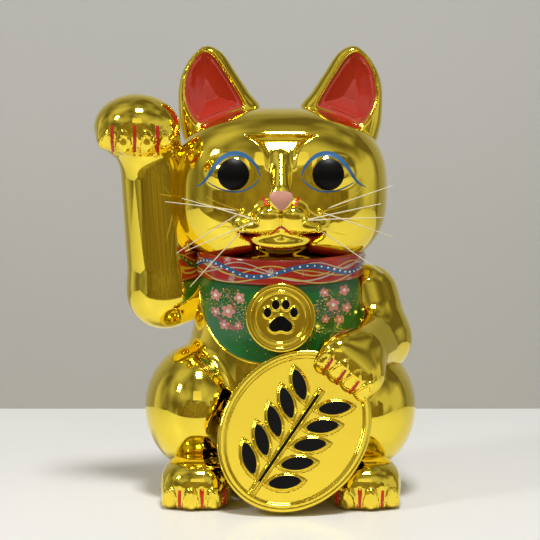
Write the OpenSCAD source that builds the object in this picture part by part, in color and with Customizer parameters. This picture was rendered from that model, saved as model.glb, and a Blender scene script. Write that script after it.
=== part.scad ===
// Seated beckoning cat, a slip-cast ceramic money bank about 36 cm tall.
// The right fore paw is raised, the left one rests on a large oval coin.
// +Z is up and the cat faces -Y, so its own left side is on +X. The origin
// is the middle of the flat base, on the plane that the cat stands on.
// The sculpted forms are distance functions, drawn at the nominal size and
// then stretched to the overall sizes. Pieces that seat on the body find
// its skin from the same functions, and are let into it by joint_sink.

/* [Overall] */
// Height from the base to the tips of the ears
height = 360; // [300:1:432]
// Width from the raised paw to the left elbow
width = 257; // [214:1:309]
// Depth from the foot of the coin to the back
depth = 198; // [165:1:238]

/* [Casting] */
// Thickness of the slip-cast wall
wall = 4.5; // [3.5:0.5:6]
// How deep a luted piece is let into the one under it
joint_sink = 2; // [1:0.25:3]
// Height of the flat seam between the body and the head
seam_z = 190; // [186:1:194]
// Diameter of the passage from the body into the head
passage_d = 62; // [50:1:74]
// Diameter of the air vents through the body's wall into the arms
vent_d = 16; // [12:1:20]

/* [Ears] */
// Height of an ear above the crown of the head
ear_h = 50; // [42:1:60]
// Half width of an ear where it leaves the head
ear_half_w = 32; // [27:1:36]
// Half thickness of an ear where it leaves the head
ear_half_t = 17; // [14:1:20]
// Distance of an ear's middle from the mid plane
ear_x = 49; // [46:1:52]
// Outward lean of the ear's tip
ear_lean = 10; // [4:1:14]
// Depth of the hollow in the front of the ear, as a part of its thickness
ear_dish = 0.55; // [0.3:0.05:0.7]

/* [Collar and bib] */
// Height of the collar band
collar_h = 20; // [16:0.5:24]
// How far the collar stands off the neck
collar_t = 5; // [4:0.5:7]
// Height of the collar's middle, above the middle of the base
collar_z = 188; // [185:1:191]
// Forward slope of the collar, in degrees
collar_slope = 6; // [3:0.5:9]
// Radius of the bib
bib_r = 65; // [54:1:72]
// Length of the bib from its top edge to its lowest point
bib_l = 72; // [60:1:78]
// How far the bib stands off the chest
bib_t = 1.2; // [0.8:0.1:2]
// How deep the bib is bedded into the chest
bib_bed = 0.6; // [0.4:0.1:1]

/* [Medallion] */
// Diameter of the medallion
medal_d = 53.4; // [44:0.2:64]
// How far the medallion's rim stands off the chest
medal_proud = 7; // [5:0.5:9]
// Width of each of the two rings of the rim
medal_ring_w = 2.2; // [1.6:0.2:2.8]
// Height of the rings above the medallion's field
medal_ring_h = 1.8; // [1:0.2:2.4]

/* [Coin] */
// Length of the oval coin
coin_l = 132; // [110:1:158]
// Width of the oval coin
coin_w = 111; // [93:1:132]
// Thickness of the coin at its rim
coin_t = 12; // [10:0.5:14]
// Width of the coin's raised rim
coin_rim_w = 6; // [4:0.5:8]
// Height of the rim above the coin's field
coin_rim_h = 2; // [1:0.25:3]
// Turn of the coin's long axis from upright, in degrees
coin_turn = 34; // [25:1:42]
// Backward lean of the coin, in degrees
coin_lean = 20; // [14:1:24]
// Height of the black relief above a field
relief_h = 1.6; // [1:0.2:2.4]

/* [Whiskers] */
// Diameter of a whisker bristle
whisker_d = 0.8; // [0.6:0.1:1.2]
// Length of a whisker bristle
whisker_l = 58; // [48:1:70]
// Backward sweep of the bristles, in degrees
whisker_sweep = 8; // [0:1:16]
// Diameter of the pips that the bristles grow from
pip_d = 7.2; // [6:0.2:8.6]

/* [Money bank] */
// Length of the coin slot in the back
slot_l = 42; // [35:1:50]
// Width of the coin slot
slot_w = 6; // [5:0.25:7]
// Height of the coin slot above the base
slot_z = 158; // [150:1:166]
// Diameter of the hole in the base
hole_d = 40; // [34:1:48]
// Distance of the hole behind the middle of the base
hole_y = 30; // [27:1:34]
// Radial gap between the stopper's plug and the hole
plug_gap = 0.05; // [0.03:0.01:0.1]
// Height of the recess that keeps the stopper off the table
recess_h = 4; // [3:0.5:5]
// How far the stopper's flange reaches past the hole
flange_lap = 5; // [4:0.5:6]
// Thickness of the flange
flange_t = 2.4; // [2:0.2:2.8]
// Gap round the flange in its recess
flange_gap = 1; // [0.5:0.25:1.5]
// Length of the plug above the floor of the casting
plug_rise = 3; // [2:0.5:4]

/* [Fineness] */
// Facets round the body and the head
around = 60; // [48:4:72]
// Rings of facets up the body and the head
rings_up = 34; // [26:1:40]

/* [Hidden] */

gold = [0.95, 0.83, 0.25];
black = [0.05, 0.05, 0.05];
// Slope below which a point counts as the middle of an egg.
flat_slope = 0.0001;
// How far the last ring of a rounded end stands from its very tip.
end_in = 0.06;
// How far below the base its rounded edge would end.
floor_in = 0.5;
$fn = 64;

// The sculpture is drawn at this size, and stretched to the overall sizes.
nominal = [257, 198, 360];
k = [width / nominal.x, depth / nominal.y, height / nominal.z];
mean_k = (k.x + k.y + k.z) / 3;
shell = wall / mean_k;
sink = joint_sink / mean_k;

// Centres and half sizes of the body's forms.
belly_at = [0, 10, 95];
belly_r = [77, 70, 98];
chest_at = [0, 3, 158];
chest_r = [67.5, 67, 57];
seat_at = [0, 14, 34];
seat_r = [78, 66, 44];
haunch_at = [66, -11, 70];
haunch_r = [43, 56, 51];

// Centres and half sizes of the head's forms.
head_at = [0, 2, 244];
head_r = [86, 70, 66];
head_square = 2.6;
face_bias = 0.68;
face_share = 0.75;
temple_share = 0.7;
crown_z = head_at.z + head_r.z;
socket_at = [37, -92, 259];
socket_r = [26, 27, 19];
eye_at = [36.5, -46, 257];
eye_r = [25, 20, 20];
brow_at = [0, -86, 272];
brow_r = [20, 20, 15];
nose_high = [0, -66, 262];
nose_low = [0, -80, 244];
nose_r = 6;
nose_pad_at = [0, -82, 237];
nose_pad_r = [9.5, 6, 9];
muzzle_at = [9, -76, 224];
muzzle_r = [11, 13, 9];
lip_at = [15, -66, 215];
lip_r = [20, 16, 9];
jaw_at = [0, -64, 203];
jaw_r = [20, 16, 9];

// Centres and radii of the limbs.
shoulder_at = [-66, 12, 166];
shoulder_r = 26;
elbow_at = [-95, 4, 160];
elbow_r = 27.5;
wrist_at = [-103, -8, 262];
wrist_r = 25.5;
raised_paw_at = [-114, -24, 294];
raised_paw_r = [34, 33, 26];
rest_shoulder_at = [70, 4, 158];
rest_elbow_at = [78, -12, 125];
rest_arm_r = 26;
rest_bend = [75, -12, 138];
rest_back_y = rest_shoulder_at.y + rest_arm_r;
rest_wrist_at = [61, -54, 117];
rest_wrist_r = 22;
rest_paw_half = [9, 0, -8];
rest_paw_r = 17;
rest_paw_over = 8;
foot_at = [65, -58, 16];
foot_r = [28.5, 34, 22];
foot_square = 2.5;
vent_from = 50;
vent_l = 34;

// Places of the pips on one half of the face, the pip of each bristle, and
// the rise of each bristle in degrees, on the left side and on the right.
pips = [[29.4, 228], [17.8, 221.4], [28.8, 214.6]];
bristle_pip = [0, 0, 1, 1, 2];
pip_in = 0.8;
left_rise = [19, -19, 12, 2, -34];
right_rise = [7, -32, 16, -23, -47];

// How softly the forms run into each other: folds, lids, lips, the face, limbs and the belly.
soft_fold = 2;
soft_lid = 3;
soft_lip = 4;
soft_face = 5;
soft_haunch = 6;
soft_limb = 8;
soft_paw = 10;
soft_palm = 12;
soft_chest = 14;
soft_seat = 20;
// How far rays are followed to the skin of the body, the head, the arms and the feet.
ray_body = 130;
ray_head = 110;
ray_arm = 80;
ray_paw = 70;
ray_foot = 60;

// Tail: thickness, run to the side, rise, and height of its root.
tail_r = 9;
tail_span = 30;
tail_rise = 34;
tail_low = 14;
tail_taper = 0.2;

// Collar: centre of its turn, the reach that its slope is measured at, and its rounding.
neck_y = 4;
neck_depth = 66;
collar_round = 2;

// Bib and medallion: top of the bib, its narrow start under the collar, and the
// medallion's lap over the collar, the height of its middle and its front.
bib_top = collar_middle(-90);
bib_start = 0.06;
bib_square = 2.7;
medal_lap = 2;
medal_z = (bib_top * k.z - collar_h / 2 + medal_lap - medal_d / 2) / k.z;
medal_face = body_front(0, medal_z, 0) * k.y - medal_proud;
motif_d = 53.4;

// Coin: place from side to side, height of its middle, and the directions of
// its long axis, its short axis and its face.
coin_x = 10.5;
coin_half_up = sqrt(sq(coin_l / 2 * cos(coin_turn)) + sq(coin_w / 2 * sin(coin_turn))) * cos(coin_lean);
coin_z = coin_half_up + coin_t / 2 * sin(coin_lean);
coin_way_up = [sin(coin_turn), sin(coin_lean) * cos(coin_turn), cos(coin_lean) * cos(coin_turn)];
coin_way_side = [cos(coin_turn), -sin(coin_lean) * sin(coin_turn), -cos(coin_lean) * sin(coin_turn)];
coin_way_out = [0, -cos(coin_lean), sin(coin_lean)];
coin_gap = 0.3;
// The coin stands as far back as it can: let into the body, and clear of the medallion and the feet.
coin_y = min([for (share = [0.5, 1]) for (a = [0:6:354])
              let(q = coin_point(share, a), x = coin_x * k.x + q.x, z = coin_z + q.z)
              min(body_stop(x, z), medal_stop(x, z), foot_stop(x, z)) - q.y]);
// The resting paw lies just outside the coin's edge, this far round it and out from it.
paw_round = 84;
paw_out = 2;
paw_offset = (coin_l / 2 + paw_out) * sin(paw_round) * coin_way_up + coin_w / 2 * cos(paw_round)
  * coin_way_side;
rest_paw_at = over([coin_x * k.x + paw_offset.x, 0, coin_z + paw_offset.z], k);
rest_paw_y = coin_face_y(rest_paw_at.z - rest_paw_half.z) - rest_paw_over;

// Ear of rice on the coin.
grain_pairs = 5;
grain_l = 32;
grain_w = 12.5;
grain_turn = 50;
stalk_w = 4;
motif_gap = 1;

// Ear: share of its width lost towards the tip, of its thickness, and how blunt the tip is.
ear_narrows = 0.18;
ear_thins = 0.45;
ear_blunt = 0.985;
ear_back = 6;

function sq(v) = v * v;
function over(a, b) = [a.x / b.x, a.y / b.y, a.z / b.z];
function times(a, b) = [a.x * b.x, a.y * b.y, a.z * b.z];
function mirrored(p) = [abs(p.x), p.y, p.z];

// Distance functions: less than zero inside the form, more outside it.
function egg(p, at, r) =
  let(q = over(p - at, r), near = norm(q), slope = norm(over(q, r)))
  slope < flat_slope ? -min(r) : near * (near - 1) / slope;
function block(p, at, r, power) =
  let(q = over(mirrored([p.x - at.x, abs(p.y - at.y), abs(p.z - at.z)]), r),
      sum = pow(q.x, power) + pow(q.y, power) + pow(q.z, power)) (pow(sum, 1 / power) - 1) * min(r);
function limb(p, a, b, ra, rb) =
  let(ab = b - a, t = min(max(((p - a) * ab) / (ab * ab), 0), 1)) norm(p - a - t * ab)
    - (ra + (rb - ra) * t);
function blend(a, b, soft) = min(a, b) - sq(max(soft - abs(a - b), 0) / soft) * soft / 4;
function carve(a, b, soft) = -blend(-a, b, soft);
// A form with its lower edge rounded, for a flat cut at the base's plane.
function floored(a, p) = carve(a, p.z + floor_in, soft_lip);

function belly_form(p) =
  blend(blend(egg(p, belly_at, belly_r), egg(p, chest_at, chest_r), soft_chest), egg(p, seat_at, seat_r),
    soft_seat);
function torso_form(p) =
  floored(blend(belly_form(p), egg(mirrored(p), haunch_at, haunch_r), soft_haunch), p);
function face_form(p) =
  let(m = mirrored(p),
      bare = carve(block(p, head_at, head_r, head_square), egg(m, socket_at, socket_r), soft_paw),
      eyed = carve(blend(bare, egg(m, eye_at, eye_r), soft_lid), egg(m, brow_at, brow_r), soft_haunch),
      nosed = blend(eyed, limb(m, nose_high, nose_low, nose_r, nose_r + 1), soft_face),
      lipped = blend(blend(nosed, egg(m, muzzle_at, muzzle_r), soft_lip), egg(m, lip_at, lip_r), soft_face))
  blend(blend(lipped, egg(p, jaw_at, jaw_r), soft_face), egg(p, nose_pad_at, nose_pad_r), soft_fold);
function raised_form(p) =
  blend(blend(limb(p, shoulder_at, elbow_at, shoulder_r, elbow_r),
              limb(p, elbow_at, wrist_at, elbow_r, wrist_r), soft_limb),
        egg(p, raised_paw_at, raised_paw_r), soft_paw);
function resting_form(p) =
  let(middle = [rest_paw_at.x, rest_paw_y, rest_paw_at.z])
  blend(blend(limb(p, rest_shoulder_at, rest_elbow_at, rest_arm_r, rest_arm_r),
              limb(p, rest_elbow_at, rest_wrist_at, rest_arm_r, rest_wrist_r), soft_limb),
        limb(p, middle - rest_paw_half, middle + rest_paw_half, rest_paw_r, rest_paw_r), soft_palm);
function foot_form(p) = floored(block(mirrored(p), foot_at, foot_r, foot_square), p);

// Distance along a ray to a form's skin, found by halving the gap.
function reach(form, from, way, far, near = 0, level = 0, turns = 15) =
  let(mid = (near + far) / 2)
  turns == 0 ? mid
  : form(from + mid * way) < level ? reach(form, from, way, far, mid, level, turns - 1)
  : reach(form, from, way, mid, near, level, turns - 1);

// Angles round a slice, drawn together towards the front by bias.
function angles(n, bias = 0) =
  [for (i = [0:n - 1]) let(t = 360 * i / n) t - bias * 180 / PI * sin(t - 270)];
// Evenly eased stations from a to b: close together at both ends.
function eased(a, b, n) = [for (i = [0:n]) (a + b) / 2 - (b - a) / 2 * cos(180 * i / n)];
// Stations from a to b that are close together at b only.
function closing(a, b, n) = [for (i = [0:n]) a + (b - a) * sin(90 * i / n)];
function mix(a, b, t) = a + (b - a) * t;

// Rings of points on a form's skin: one ring round each centre.
function slices(form, centres, turns, far, e1 = [1, 0, 0], e2 = [0, 1, 0], level = 0) =
  [for (c = centres) [for (a = turns)
    let(way = cos(a) * e1 + sin(a) * e2) c + way * reach(form, c, way, far, level = level)]];
function stretched(rings) = [for (ring = rings) [for (p = ring) times(p, k)]];

// A closed solid over a list of rings that turn right-handed about their course.
// A tip closes an end with a fan, and an end without one is a flat face.
module skin(rings, low = [], high = [], loop = false) {
  n = len(rings[0]);
  m = len(rings);
  tips = concat(low, high);
  points = concat([for (ring = rings) for (p = ring) p], tips);
  sides = [for (i = [0:m - (loop ? 1 : 2)]) for (j = [0:n - 1])
           let(a = i * n + j, b = i * n + (j + 1) % n, d = ((i + 1) % m) * n + j,
             c = ((i + 1) % m) * n + (j + 1) % n)
           for (half = [[a, c, b], [a, d, c]]) half];
  bottom = loop ? []
         : len(low) == 0 ? [[for (j = [0:n - 1]) j]]
         : [for (j = [0:n - 1]) [m * n, j, (j + 1) % n]];
  last = (m - 1) * n;
  top = loop ? []
    : len(high) == 0 ? [[for (j = [n - 1:-1:0]) last + j]]
    : [for (j = [0:n - 1]) [m * n + len(low), last + (j + 1) % n, last + j]];
  polyhedron(points, concat(sides, bottom, top), convexity = 8);
}

// An upright outline of a coin or a ring.
module oval(l, w) { polygon([for (a = [0:5:355]) [w / 2 * cos(a), l / 2 * sin(a)]]); }

function torso_centre(z) = [0, 4, z];
module torso_skin(level, low_z, high_z, n, m) {
  form = function(p) torso_form(p);
  centres = [for (z = eased(low_z, high_z, m)) torso_centre(z)];
  skin(stretched(slices(form, centres, angles(n), ray_body, level = level)));
}

// Body with the haunches: a hollow casting with a flat base, open to the head.
module torso() {
  color(gold) difference() {
    torso_skin(0, 0, seam_z, around, rings_up);
    torso_skin(-shell, shell + recess_h, seam_z - shell, around / 2, rings_up / 2);
    translate([0, 4, k.z * seam_z - 2 * wall]) cylinder(d = passage_d, h = 4 * wall);
    translate([0, hole_y, -1]) cylinder(d = hole_d, h = 3 * wall + recess_h);
    translate([0, hole_y, -1]) cylinder(d = hole_d + 2 * (flange_lap + flange_gap), h = recess_h + 1);
    translate([0, 0, slot_z * k.z]) rotate([-90, 0, 0]) coin_slot();
    vents();
  }
}

// Air vents from the body into the hollow of each arm.
module vents() {
  for (root = [[shoulder_at, -1], [rest_shoulder_at, 1]])
    translate(times([root[1] * vent_from, root[0].y, root[0].z], k)) rotate([0, root[1] * 90, 0])
      cylinder(d = vent_d, h = vent_l);
}

module coin_slot() {
  linear_extrude(height = depth) for (side = [-1, 1]) {
    translate([side * (slot_l - slot_w) / 2, 0]) circle(d = slot_w);
    square([slot_l - slot_w, slot_w], center = true);
  }
}

// Head with the face: a hollow casting that stands on the body's seam.
module head() {
  form = function(p) face_form(p);
  temple_z = head_at.z + temple_share * head_r.z;
  face_rings = round(rings_up * face_share);
  up = concat([for (i = [0:face_rings - 1]) mix(seam_z, temple_z, i / face_rings)],
              closing(temple_z, crown_z - end_in, rings_up - face_rings));
  inside = closing(seam_z + shell, crown_z - shell - end_in, rings_up / 3);
  color(gold) difference() {
    skin(stretched(slices(form, [for (z = up) [0, -6, z]], angles(around, face_bias), ray_head)));
    skin(stretched(slices(form, [for (z = inside) [0, -2, z]], angles(around / 2), ray_head,
      level = -shell)));
    translate([0, 4, k.z * seam_z - wall]) cylinder(d = passage_d, h = 3 * wall);
  }
}

// Ear: a rounded shell on the crown, with a hollow in its front.
function crown_seat(x, y) =
  let(form = function(p) face_form(p)) reach(form, [x, y, head_at.z], [0, 0, 1], 90, level = -sink)
    + head_at.z;
function ear_ring(t, m, side) =
  let(width_here = ear_half_w * sqrt(1 - sq(t * ear_blunt)) * (1 - ear_narrows * t),
      thick_here = ear_half_t * (1 - ear_thins * t) * sqrt(1 - pow(t * ear_blunt, 4)),
      tip_z = crown_z + ear_h)
  [for (i = [0:m - 1])
   let(a = 360 * i / m, u = cos(a), v = sin(a),
       hollow = v < 0 ? ear_dish * (1 - abs(u)) * (1 - t) * 2 * sq(v) : 0,
       x = side * (ear_x + ear_lean * sin(90 * t)) + width_here * u,
       y = ear_back * t + thick_here * (v + hollow),
       foot_x = side * ear_x + ear_half_w * u,
       seat = crown_seat(foot_x, ear_half_t * v))
   [x, y, mix(seat, tip_z, t)]];
module ear(side) {
  stations = closing(0, 1, 14);
  tip = times([side * (ear_x + ear_lean), ear_back, crown_z + ear_h], k);
  rings = [for (t = stations) ear_ring(t, 32, side)];
  base = times([side * ear_x, 0, crown_seat(side * ear_x, 0)], k);
  color(gold) skin(stretched([for (i = [0:len(rings) - 2]) rings[i]]), low = [base], high = [tip]);
}

// Raised arm: a hollow casting, its open root luted to the right shoulder.
module raised_arm() {
  form = function(p) max(raised_form(p), -neck_form(p) - sink);
  hollow = function(p) p.z < seam_z ? raised_form(p) : form(p);
  low_z = elbow_at.z - elbow_r + end_in;
  high_z = raised_paw_at.z + raised_paw_r.z - end_in;
  color(gold) difference() {
    skin(stretched(slices(form, [for (z = eased(low_z, high_z, 34)) arm_centre(z)], angles(36), ray_arm)));
    skin(stretched(slices(hollow, [for (z = eased(low_z + shell, high_z - shell, 16)) arm_centre(z)],
      angles(18), ray_arm,
                          level = -shell)));
  }
}
function arm_centre(z) =
  let(t = min(max((z - elbow_at.z) / (raised_paw_at.z - elbow_at.z), 0), 1))
  [mix(elbow_at.x, raised_paw_at.x, t), mix(elbow_at.y, raised_paw_at.y, t), z];

// Resting arm: a hollow casting, open at the left shoulder, that holds the coin's edge.
function resting_centre(y) =
  [lookup(y, [[rest_paw_y, rest_paw_at.x], [rest_wrist_at.y, rest_wrist_at.x], [rest_bend.y, rest_bend.x],
              [rest_back_y, rest_shoulder_at.x]]), y,
   lookup(y, [[rest_paw_y, rest_paw_at.z], [rest_wrist_at.y, rest_wrist_at.z], [rest_bend.y, rest_bend.z],
              [rest_back_y, rest_shoulder_at.z]])];
module resting_arm() {
  form = function(p) max(resting_form(p), -torso_form(p) - sink, -coin_form(p));
  hollow = function(p) max(resting_form(p), -coin_form(p));
  back_y = rest_back_y - end_in;
  front_y = rest_paw_y - rest_paw_r + end_in;
  e1 = [1, 0, 0];
  e2 = [0, 0, 1];
  outside = [for (y = eased(back_y, front_y, 30)) resting_centre(y)];
  inside = [for (y = eased(back_y - 2 * shell, front_y + 2 * shell, 12)) resting_centre(y)];
  color(gold) difference() {
    skin(stretched(slices(form, outside, angles(34), ray_paw, e1, e2)));
    skin(stretched(slices(hollow, inside, angles(16), ray_paw, e1, e2, level = -shell)));
  }
}

// Foot: a solid pad in front of the haunch, flat underneath.
module foot(side) {
  form = function(p) max(foot_form(p), -torso_form(p) - sink);
  centres = [for (z = closing(0, foot_at.z + foot_r.z - end_in, 14)) [side * foot_at.x, foot_at.y, z]];
  color(gold) skin(stretched(slices(form, centres, angles(32), ray_foot)));
}

// Tail: a short curl laid on the back, just above the base.
function body_back(x, z) = reach(function(p) torso_form(p), [x, 0, z], [0, 1, 0], ray_head);
function tail_point(t) =
  let(x = tail_span * sin(90 * t), z = tail_low + tail_rise * (1 - cos(90 * t)))
    [x, body_back(x, z) + tail_r / 2, z];
module tail() {
  stations = eased(0, 1, 14);
  rings = [for (t = stations)
           let(slope = [cos(90 * t) * tail_span, 0, sin(90 * t) * tail_rise],
               way = slope / norm(slope),
               r = tail_r * (1 - tail_taper * t) * sqrt(1.0001 - pow(abs(2 * t - 1), 6)))
           [for (a = angles(16)) tail_point(t) + r * (cos(a) * [0, 1, 0] + sin(a) * [-way.z, 0, way.x])]];
  color(gold) skin(stretched(rings));
}

// Collar: a band round the seam, higher at the back than in front.
function neck_form(p) = p.z < seam_z ? torso_form(p) : face_form(p);
function neck_reach(a, z, level) =
  reach(function(p) neck_form(p), [0, neck_y, z], [cos(a), sin(a), 0], ray_head, level = level);
function collar_middle(a) = collar_z + tan(collar_slope) * neck_depth * sin(a);
function collar_ring(a) =
  let(middle = collar_middle(a), half = collar_h / 2 / k.z,
      widest = max([for (h = [-1, 0]) neck_reach(a, middle + h * half, 0)]) + collar_t)
  [for (q = concat([for (h = [1, 0.75, 0, -0.75, -1]) [widest - collar_round * pow(abs(h), 6), h]],
                   [for (h = [-1, -0.6, -0.2, 0.2, 0.6, 1]) [neck_reach(a, middle + h * half, -sink), h]]))
   [q[0] * cos(a), neck_y + q[0] * sin(a), middle + q[1] * half]];
module collar() {
  color([0.72, 0.12, 0.08]) skin(stretched([for (a = angles(48)) collar_ring(a)]), loop = true);
}

// Bib: a thin cloth shape on the chest, its top edge under the collar.
function body_front(x, z, level) =
  -reach(function(p) belly_form(p), [x, 0, z], [0, -1, 0], ray_head, level = level);
// The bib's outline has nearly straight sides and a round lower edge.
function bib_reach(a) =
  pow(pow(abs(cos(a)) / bib_r, bib_square) + pow(abs(sin(a)) / bib_l, bib_square), -1 / bib_square);
function bib_point(r, a, level) =
  let(x = r * cos(a), z = bib_top + r * sin(a)) [x, body_front(x, z, level), z];
module bib() {
  rows = [for (i = [0:6]) mix(bib_start, 1, i / 6)];
  turns = [for (i = [0:32]) 180 + 180 * i / 32];
  rings = [for (a = turns)
           concat([for (r = rows) bib_point(r * bib_reach(a), a, bib_t)],
                  [for (i = [6:-1:0]) bib_point(rows[i] * bib_reach(a), a, -bib_bed)])];
  color([0.1, 0.4, 0.18]) skin(stretched(rings));
}

// Medallion: a round plaque on the bib with two raised rings round a field.
module medallion() {
  r = medal_d / 2;
  low = medal_face + medal_ring_h;
  profile = [[r, medal_face + 1], [r - 0.5, medal_face], [r - medal_ring_w, medal_face],
    [r - medal_ring_w - 0.8, low],
             [r - 2 * medal_ring_w + 0.6, low], [r - 2 * medal_ring_w, medal_face + 0.6],
             [r - 3 * medal_ring_w + 0.8, medal_face + 0.6], [r - 3 * medal_ring_w, low]];
  turns = angles(40);
  back = [for (share = [0.5, 1]) [for (a = turns)
          let(x = r * share * cos(a), z = medal_z * k.z + r * share * sin(a))
          [x, body_front(x / k.x, z / k.z, -sink) * k.y, z]]];
  front = [for (q = profile) [for (a = turns) [q[0] * cos(a), q[1], medal_z * k.z + q[0] * sin(a)]]];
  seat = [0, body_front(0, medal_z, -sink) * k.y, medal_z * k.z];
  color(gold) skin(concat(back, front), low = [seat], high = [[0, low, medal_z * k.z]]);
}

// Relief on the medallion: a paw print.
module medallion_motif() {
  color(black) translate([0, medal_face + medal_ring_h, medal_z * k.z]) rotate([90, 0, 0])
    linear_extrude(height = relief_h) scale(medal_d / motif_d) paw_print();
}
module paw_print() {
  for (a = [-54, -18, 18, 54]) rotate(a) translate([0, 11.5]) circle(r = 3.6);
  for (side = [-1, 0, 1]) translate([side * 4.6, -5.2 + 3 * (1 - abs(side))]) circle(r = 5.6);
}

// Coin: an oval plate with a raised rim, standing on its edge, leaning back.
// A point of the coin's back, from its middle, and how far back it can stand.
function coin_point(share, a) =
  share / 2 * (coin_l * sin(a) * coin_way_up + coin_w * cos(a) * coin_way_side) - coin_t / 2 * coin_way_out;
function front_of(form, x, y, z) =
  let(p = over([x, y * k.y, z], k)) form(p) < 0 ? (p.y - reach(form, p, [0, -1, 0], ray_head))
    * k.y : ray_head;
function body_stop(x, z) = front_of(function(p) torso_form(p), x, 0, z) + joint_sink;
function medal_stop(x, z) =
  norm([x, z - medal_z * k.z]) < medal_d / 2 + coin_gap ? medal_face - coin_gap : ray_head;
function foot_stop(x, z) = front_of(function(p) foot_form(p), x, foot_at.y, z) - coin_gap;
function coin_face_y(z) = (coin_y + (z * k.z - coin_z) * tan(coin_lean)) / k.y;
function coin_form(p) =
  let(q = times(p, k) - [coin_x * k.x, coin_y, coin_z])
  max((norm([q * coin_way_up / coin_l, q * coin_way_side / coin_w]) * 2 - 1) * coin_w / 2,
      abs(q * coin_way_out) - coin_t / 2);
module on_coin(up = 0) {
  translate([coin_x * k.x, coin_y, coin_z]) rotate([90 - coin_lean, 0, 0]) rotate([0, 0, -coin_turn])
    translate([0, 0, up]) children();
}
module coin() {
  color(gold) on_coin(-coin_t / 2) difference() {
    linear_extrude(height = coin_t) oval(coin_l, coin_w);
    translate([0, 0, coin_t - coin_rim_h])
      linear_extrude(height = coin_t) oval(coin_l - 2 * coin_rim_w, coin_w - 2 * coin_rim_w);
  }
}

// Relief on the coin: an ear of rice, with pairs of grains up its stalk.
module coin_motif() {
  pitch = (coin_l - 2 * coin_rim_w) / (grain_pairs + 2);
  color(black) on_coin(coin_t / 2 - coin_rim_h) linear_extrude(height = relief_h) intersection() {
    oval(coin_l - 2 * (coin_rim_w + motif_gap), coin_w - 2 * (coin_rim_w + motif_gap));
    union() {
      for (i = [0:grain_pairs - 1]) for (side = [-1, 1])
        translate([side * stalk_w, (i - grain_pairs / 2 - 0.3) * pitch]) rotate(-side * grain_turn)
          grain(grain_l, grain_w);
      translate([0, -0.6 * pitch]) square([stalk_w, (grain_pairs + 0.5) * pitch], center = true);
    }
  }
}
// A pointed grain of a length and a width, standing on its lower point.
module grain(l, w) {
  r = (sq(l / 2) + sq(w / 2)) / w;
  translate([0, l / 2]) intersection_for (side = [-1, 1])
    translate([side * (r - w / 2), 0]) circle(r = r, $fn = 96);
}

// Pips on the cheeks, and the bristles that grow from them.
function pip_at(i, side) =
  let(form = function(p) face_form(p), p = [side * pips[i][0], 0, pips[i][1]])
  times([p.x, -reach(form, p, [0, -1, 0], ray_head) + pip_in, p.z], k);
module whisker_pips() {
  color(gold) for (side = [-1, 1]) for (i = [0:len(pips) - 1])
    translate(pip_at(i, side)) sphere(d = pip_d, $fn = 32);
}
module whiskers(side, rise) {
  color([0.95, 0.93, 0.82]) for (i = [0:len(rise) - 1])
    translate(pip_at(bristle_pip[i], side)) rotate([0, 0, side * whisker_sweep])
      rotate([0, side * (90 - rise[i]), 0])
      cylinder(d = whisker_d, h = whisker_l + pip_d / 2, $fn = 16);
}

// Rubber stopper: a plug in the hole of the base, with a flange in the recess.
module stopper() {
  plug_r = hole_d / 2 - plug_gap;
  flange_r = hole_d / 2 + flange_lap;
  top = recess_h + wall + plug_rise;
  color([0.2, 0.2, 0.2]) translate([0, hole_y, 0]) {
    rotate_extrude()
      polygon([[0, recess_h - flange_t], [flange_r, recess_h - flange_t], [flange_r, recess_h],
                              [plug_r, recess_h], [plug_r, top - 1], [plug_r - 1, top], [0, top]]);
  }
}

torso();
head();
ear(1);  // left_ear
ear(-1);  // right_ear
raised_arm();
resting_arm();
foot(1);  // left_foot
foot(-1);  // right_foot
tail();
collar();
bib();
medallion();
medallion_motif();
coin();
coin_motif();
whisker_pips();
whiskers(1, left_rise);  // left_whiskers
whiskers(-1, right_rise);  // right_whiskers
stopper();
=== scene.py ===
"""A seated beckoning cat in gold-plated ceramic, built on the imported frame.

The cat is made in the order in which a pottery makes it: cast body, head, ears
and limbs, then the pressed pieces, then the painting, and the bristles last.
Sizes are in millimetres of the real cat and become metres when a mesh is made.
"""

import math

import bpy
import numpy as np
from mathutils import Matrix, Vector


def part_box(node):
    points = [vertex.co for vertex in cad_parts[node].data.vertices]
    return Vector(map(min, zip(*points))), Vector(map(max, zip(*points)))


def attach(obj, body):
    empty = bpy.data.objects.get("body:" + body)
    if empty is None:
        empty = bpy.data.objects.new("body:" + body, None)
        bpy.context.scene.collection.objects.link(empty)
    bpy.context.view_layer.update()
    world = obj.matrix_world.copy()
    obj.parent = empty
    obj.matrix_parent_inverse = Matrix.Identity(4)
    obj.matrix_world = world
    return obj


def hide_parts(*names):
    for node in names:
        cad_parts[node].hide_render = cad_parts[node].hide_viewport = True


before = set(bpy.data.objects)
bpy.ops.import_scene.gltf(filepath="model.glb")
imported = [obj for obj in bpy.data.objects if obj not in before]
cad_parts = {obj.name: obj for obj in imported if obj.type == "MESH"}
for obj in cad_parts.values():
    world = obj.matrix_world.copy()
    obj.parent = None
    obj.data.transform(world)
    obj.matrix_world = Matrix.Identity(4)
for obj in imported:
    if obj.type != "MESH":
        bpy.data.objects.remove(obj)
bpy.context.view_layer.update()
MM = 0.001

# ---------------------------------------------------------------- body
# The body is slip-cast: liquid clay fills a plaster mould, sets 4.5 mm thick
# on its walls, and the rest is poured out of the hole in the base. Belly,
# chest, seat and haunches come out of the mould as one hollow shell.


def egg(p, at, r):
    """Distance from an ellipsoid's skin, less than zero inside."""
    q = (p - np.array(at, float)) / np.array(r, float)
    near = np.linalg.norm(q, axis=-1)
    slope = np.linalg.norm(q / np.array(r, float), axis=-1)
    return near * (near - 1) / np.maximum(slope, 1e-9)


def blend(a, b, soft):
    """Two forms joined with a fillet."""
    h = np.maximum(soft - np.abs(a - b), 0) / soft
    return np.minimum(a, b) - h * h * soft / 4


def carve(a, b, soft):
    """The first form with the second one cut out of it, edges softened."""
    return -blend(-a, b, soft)


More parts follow.
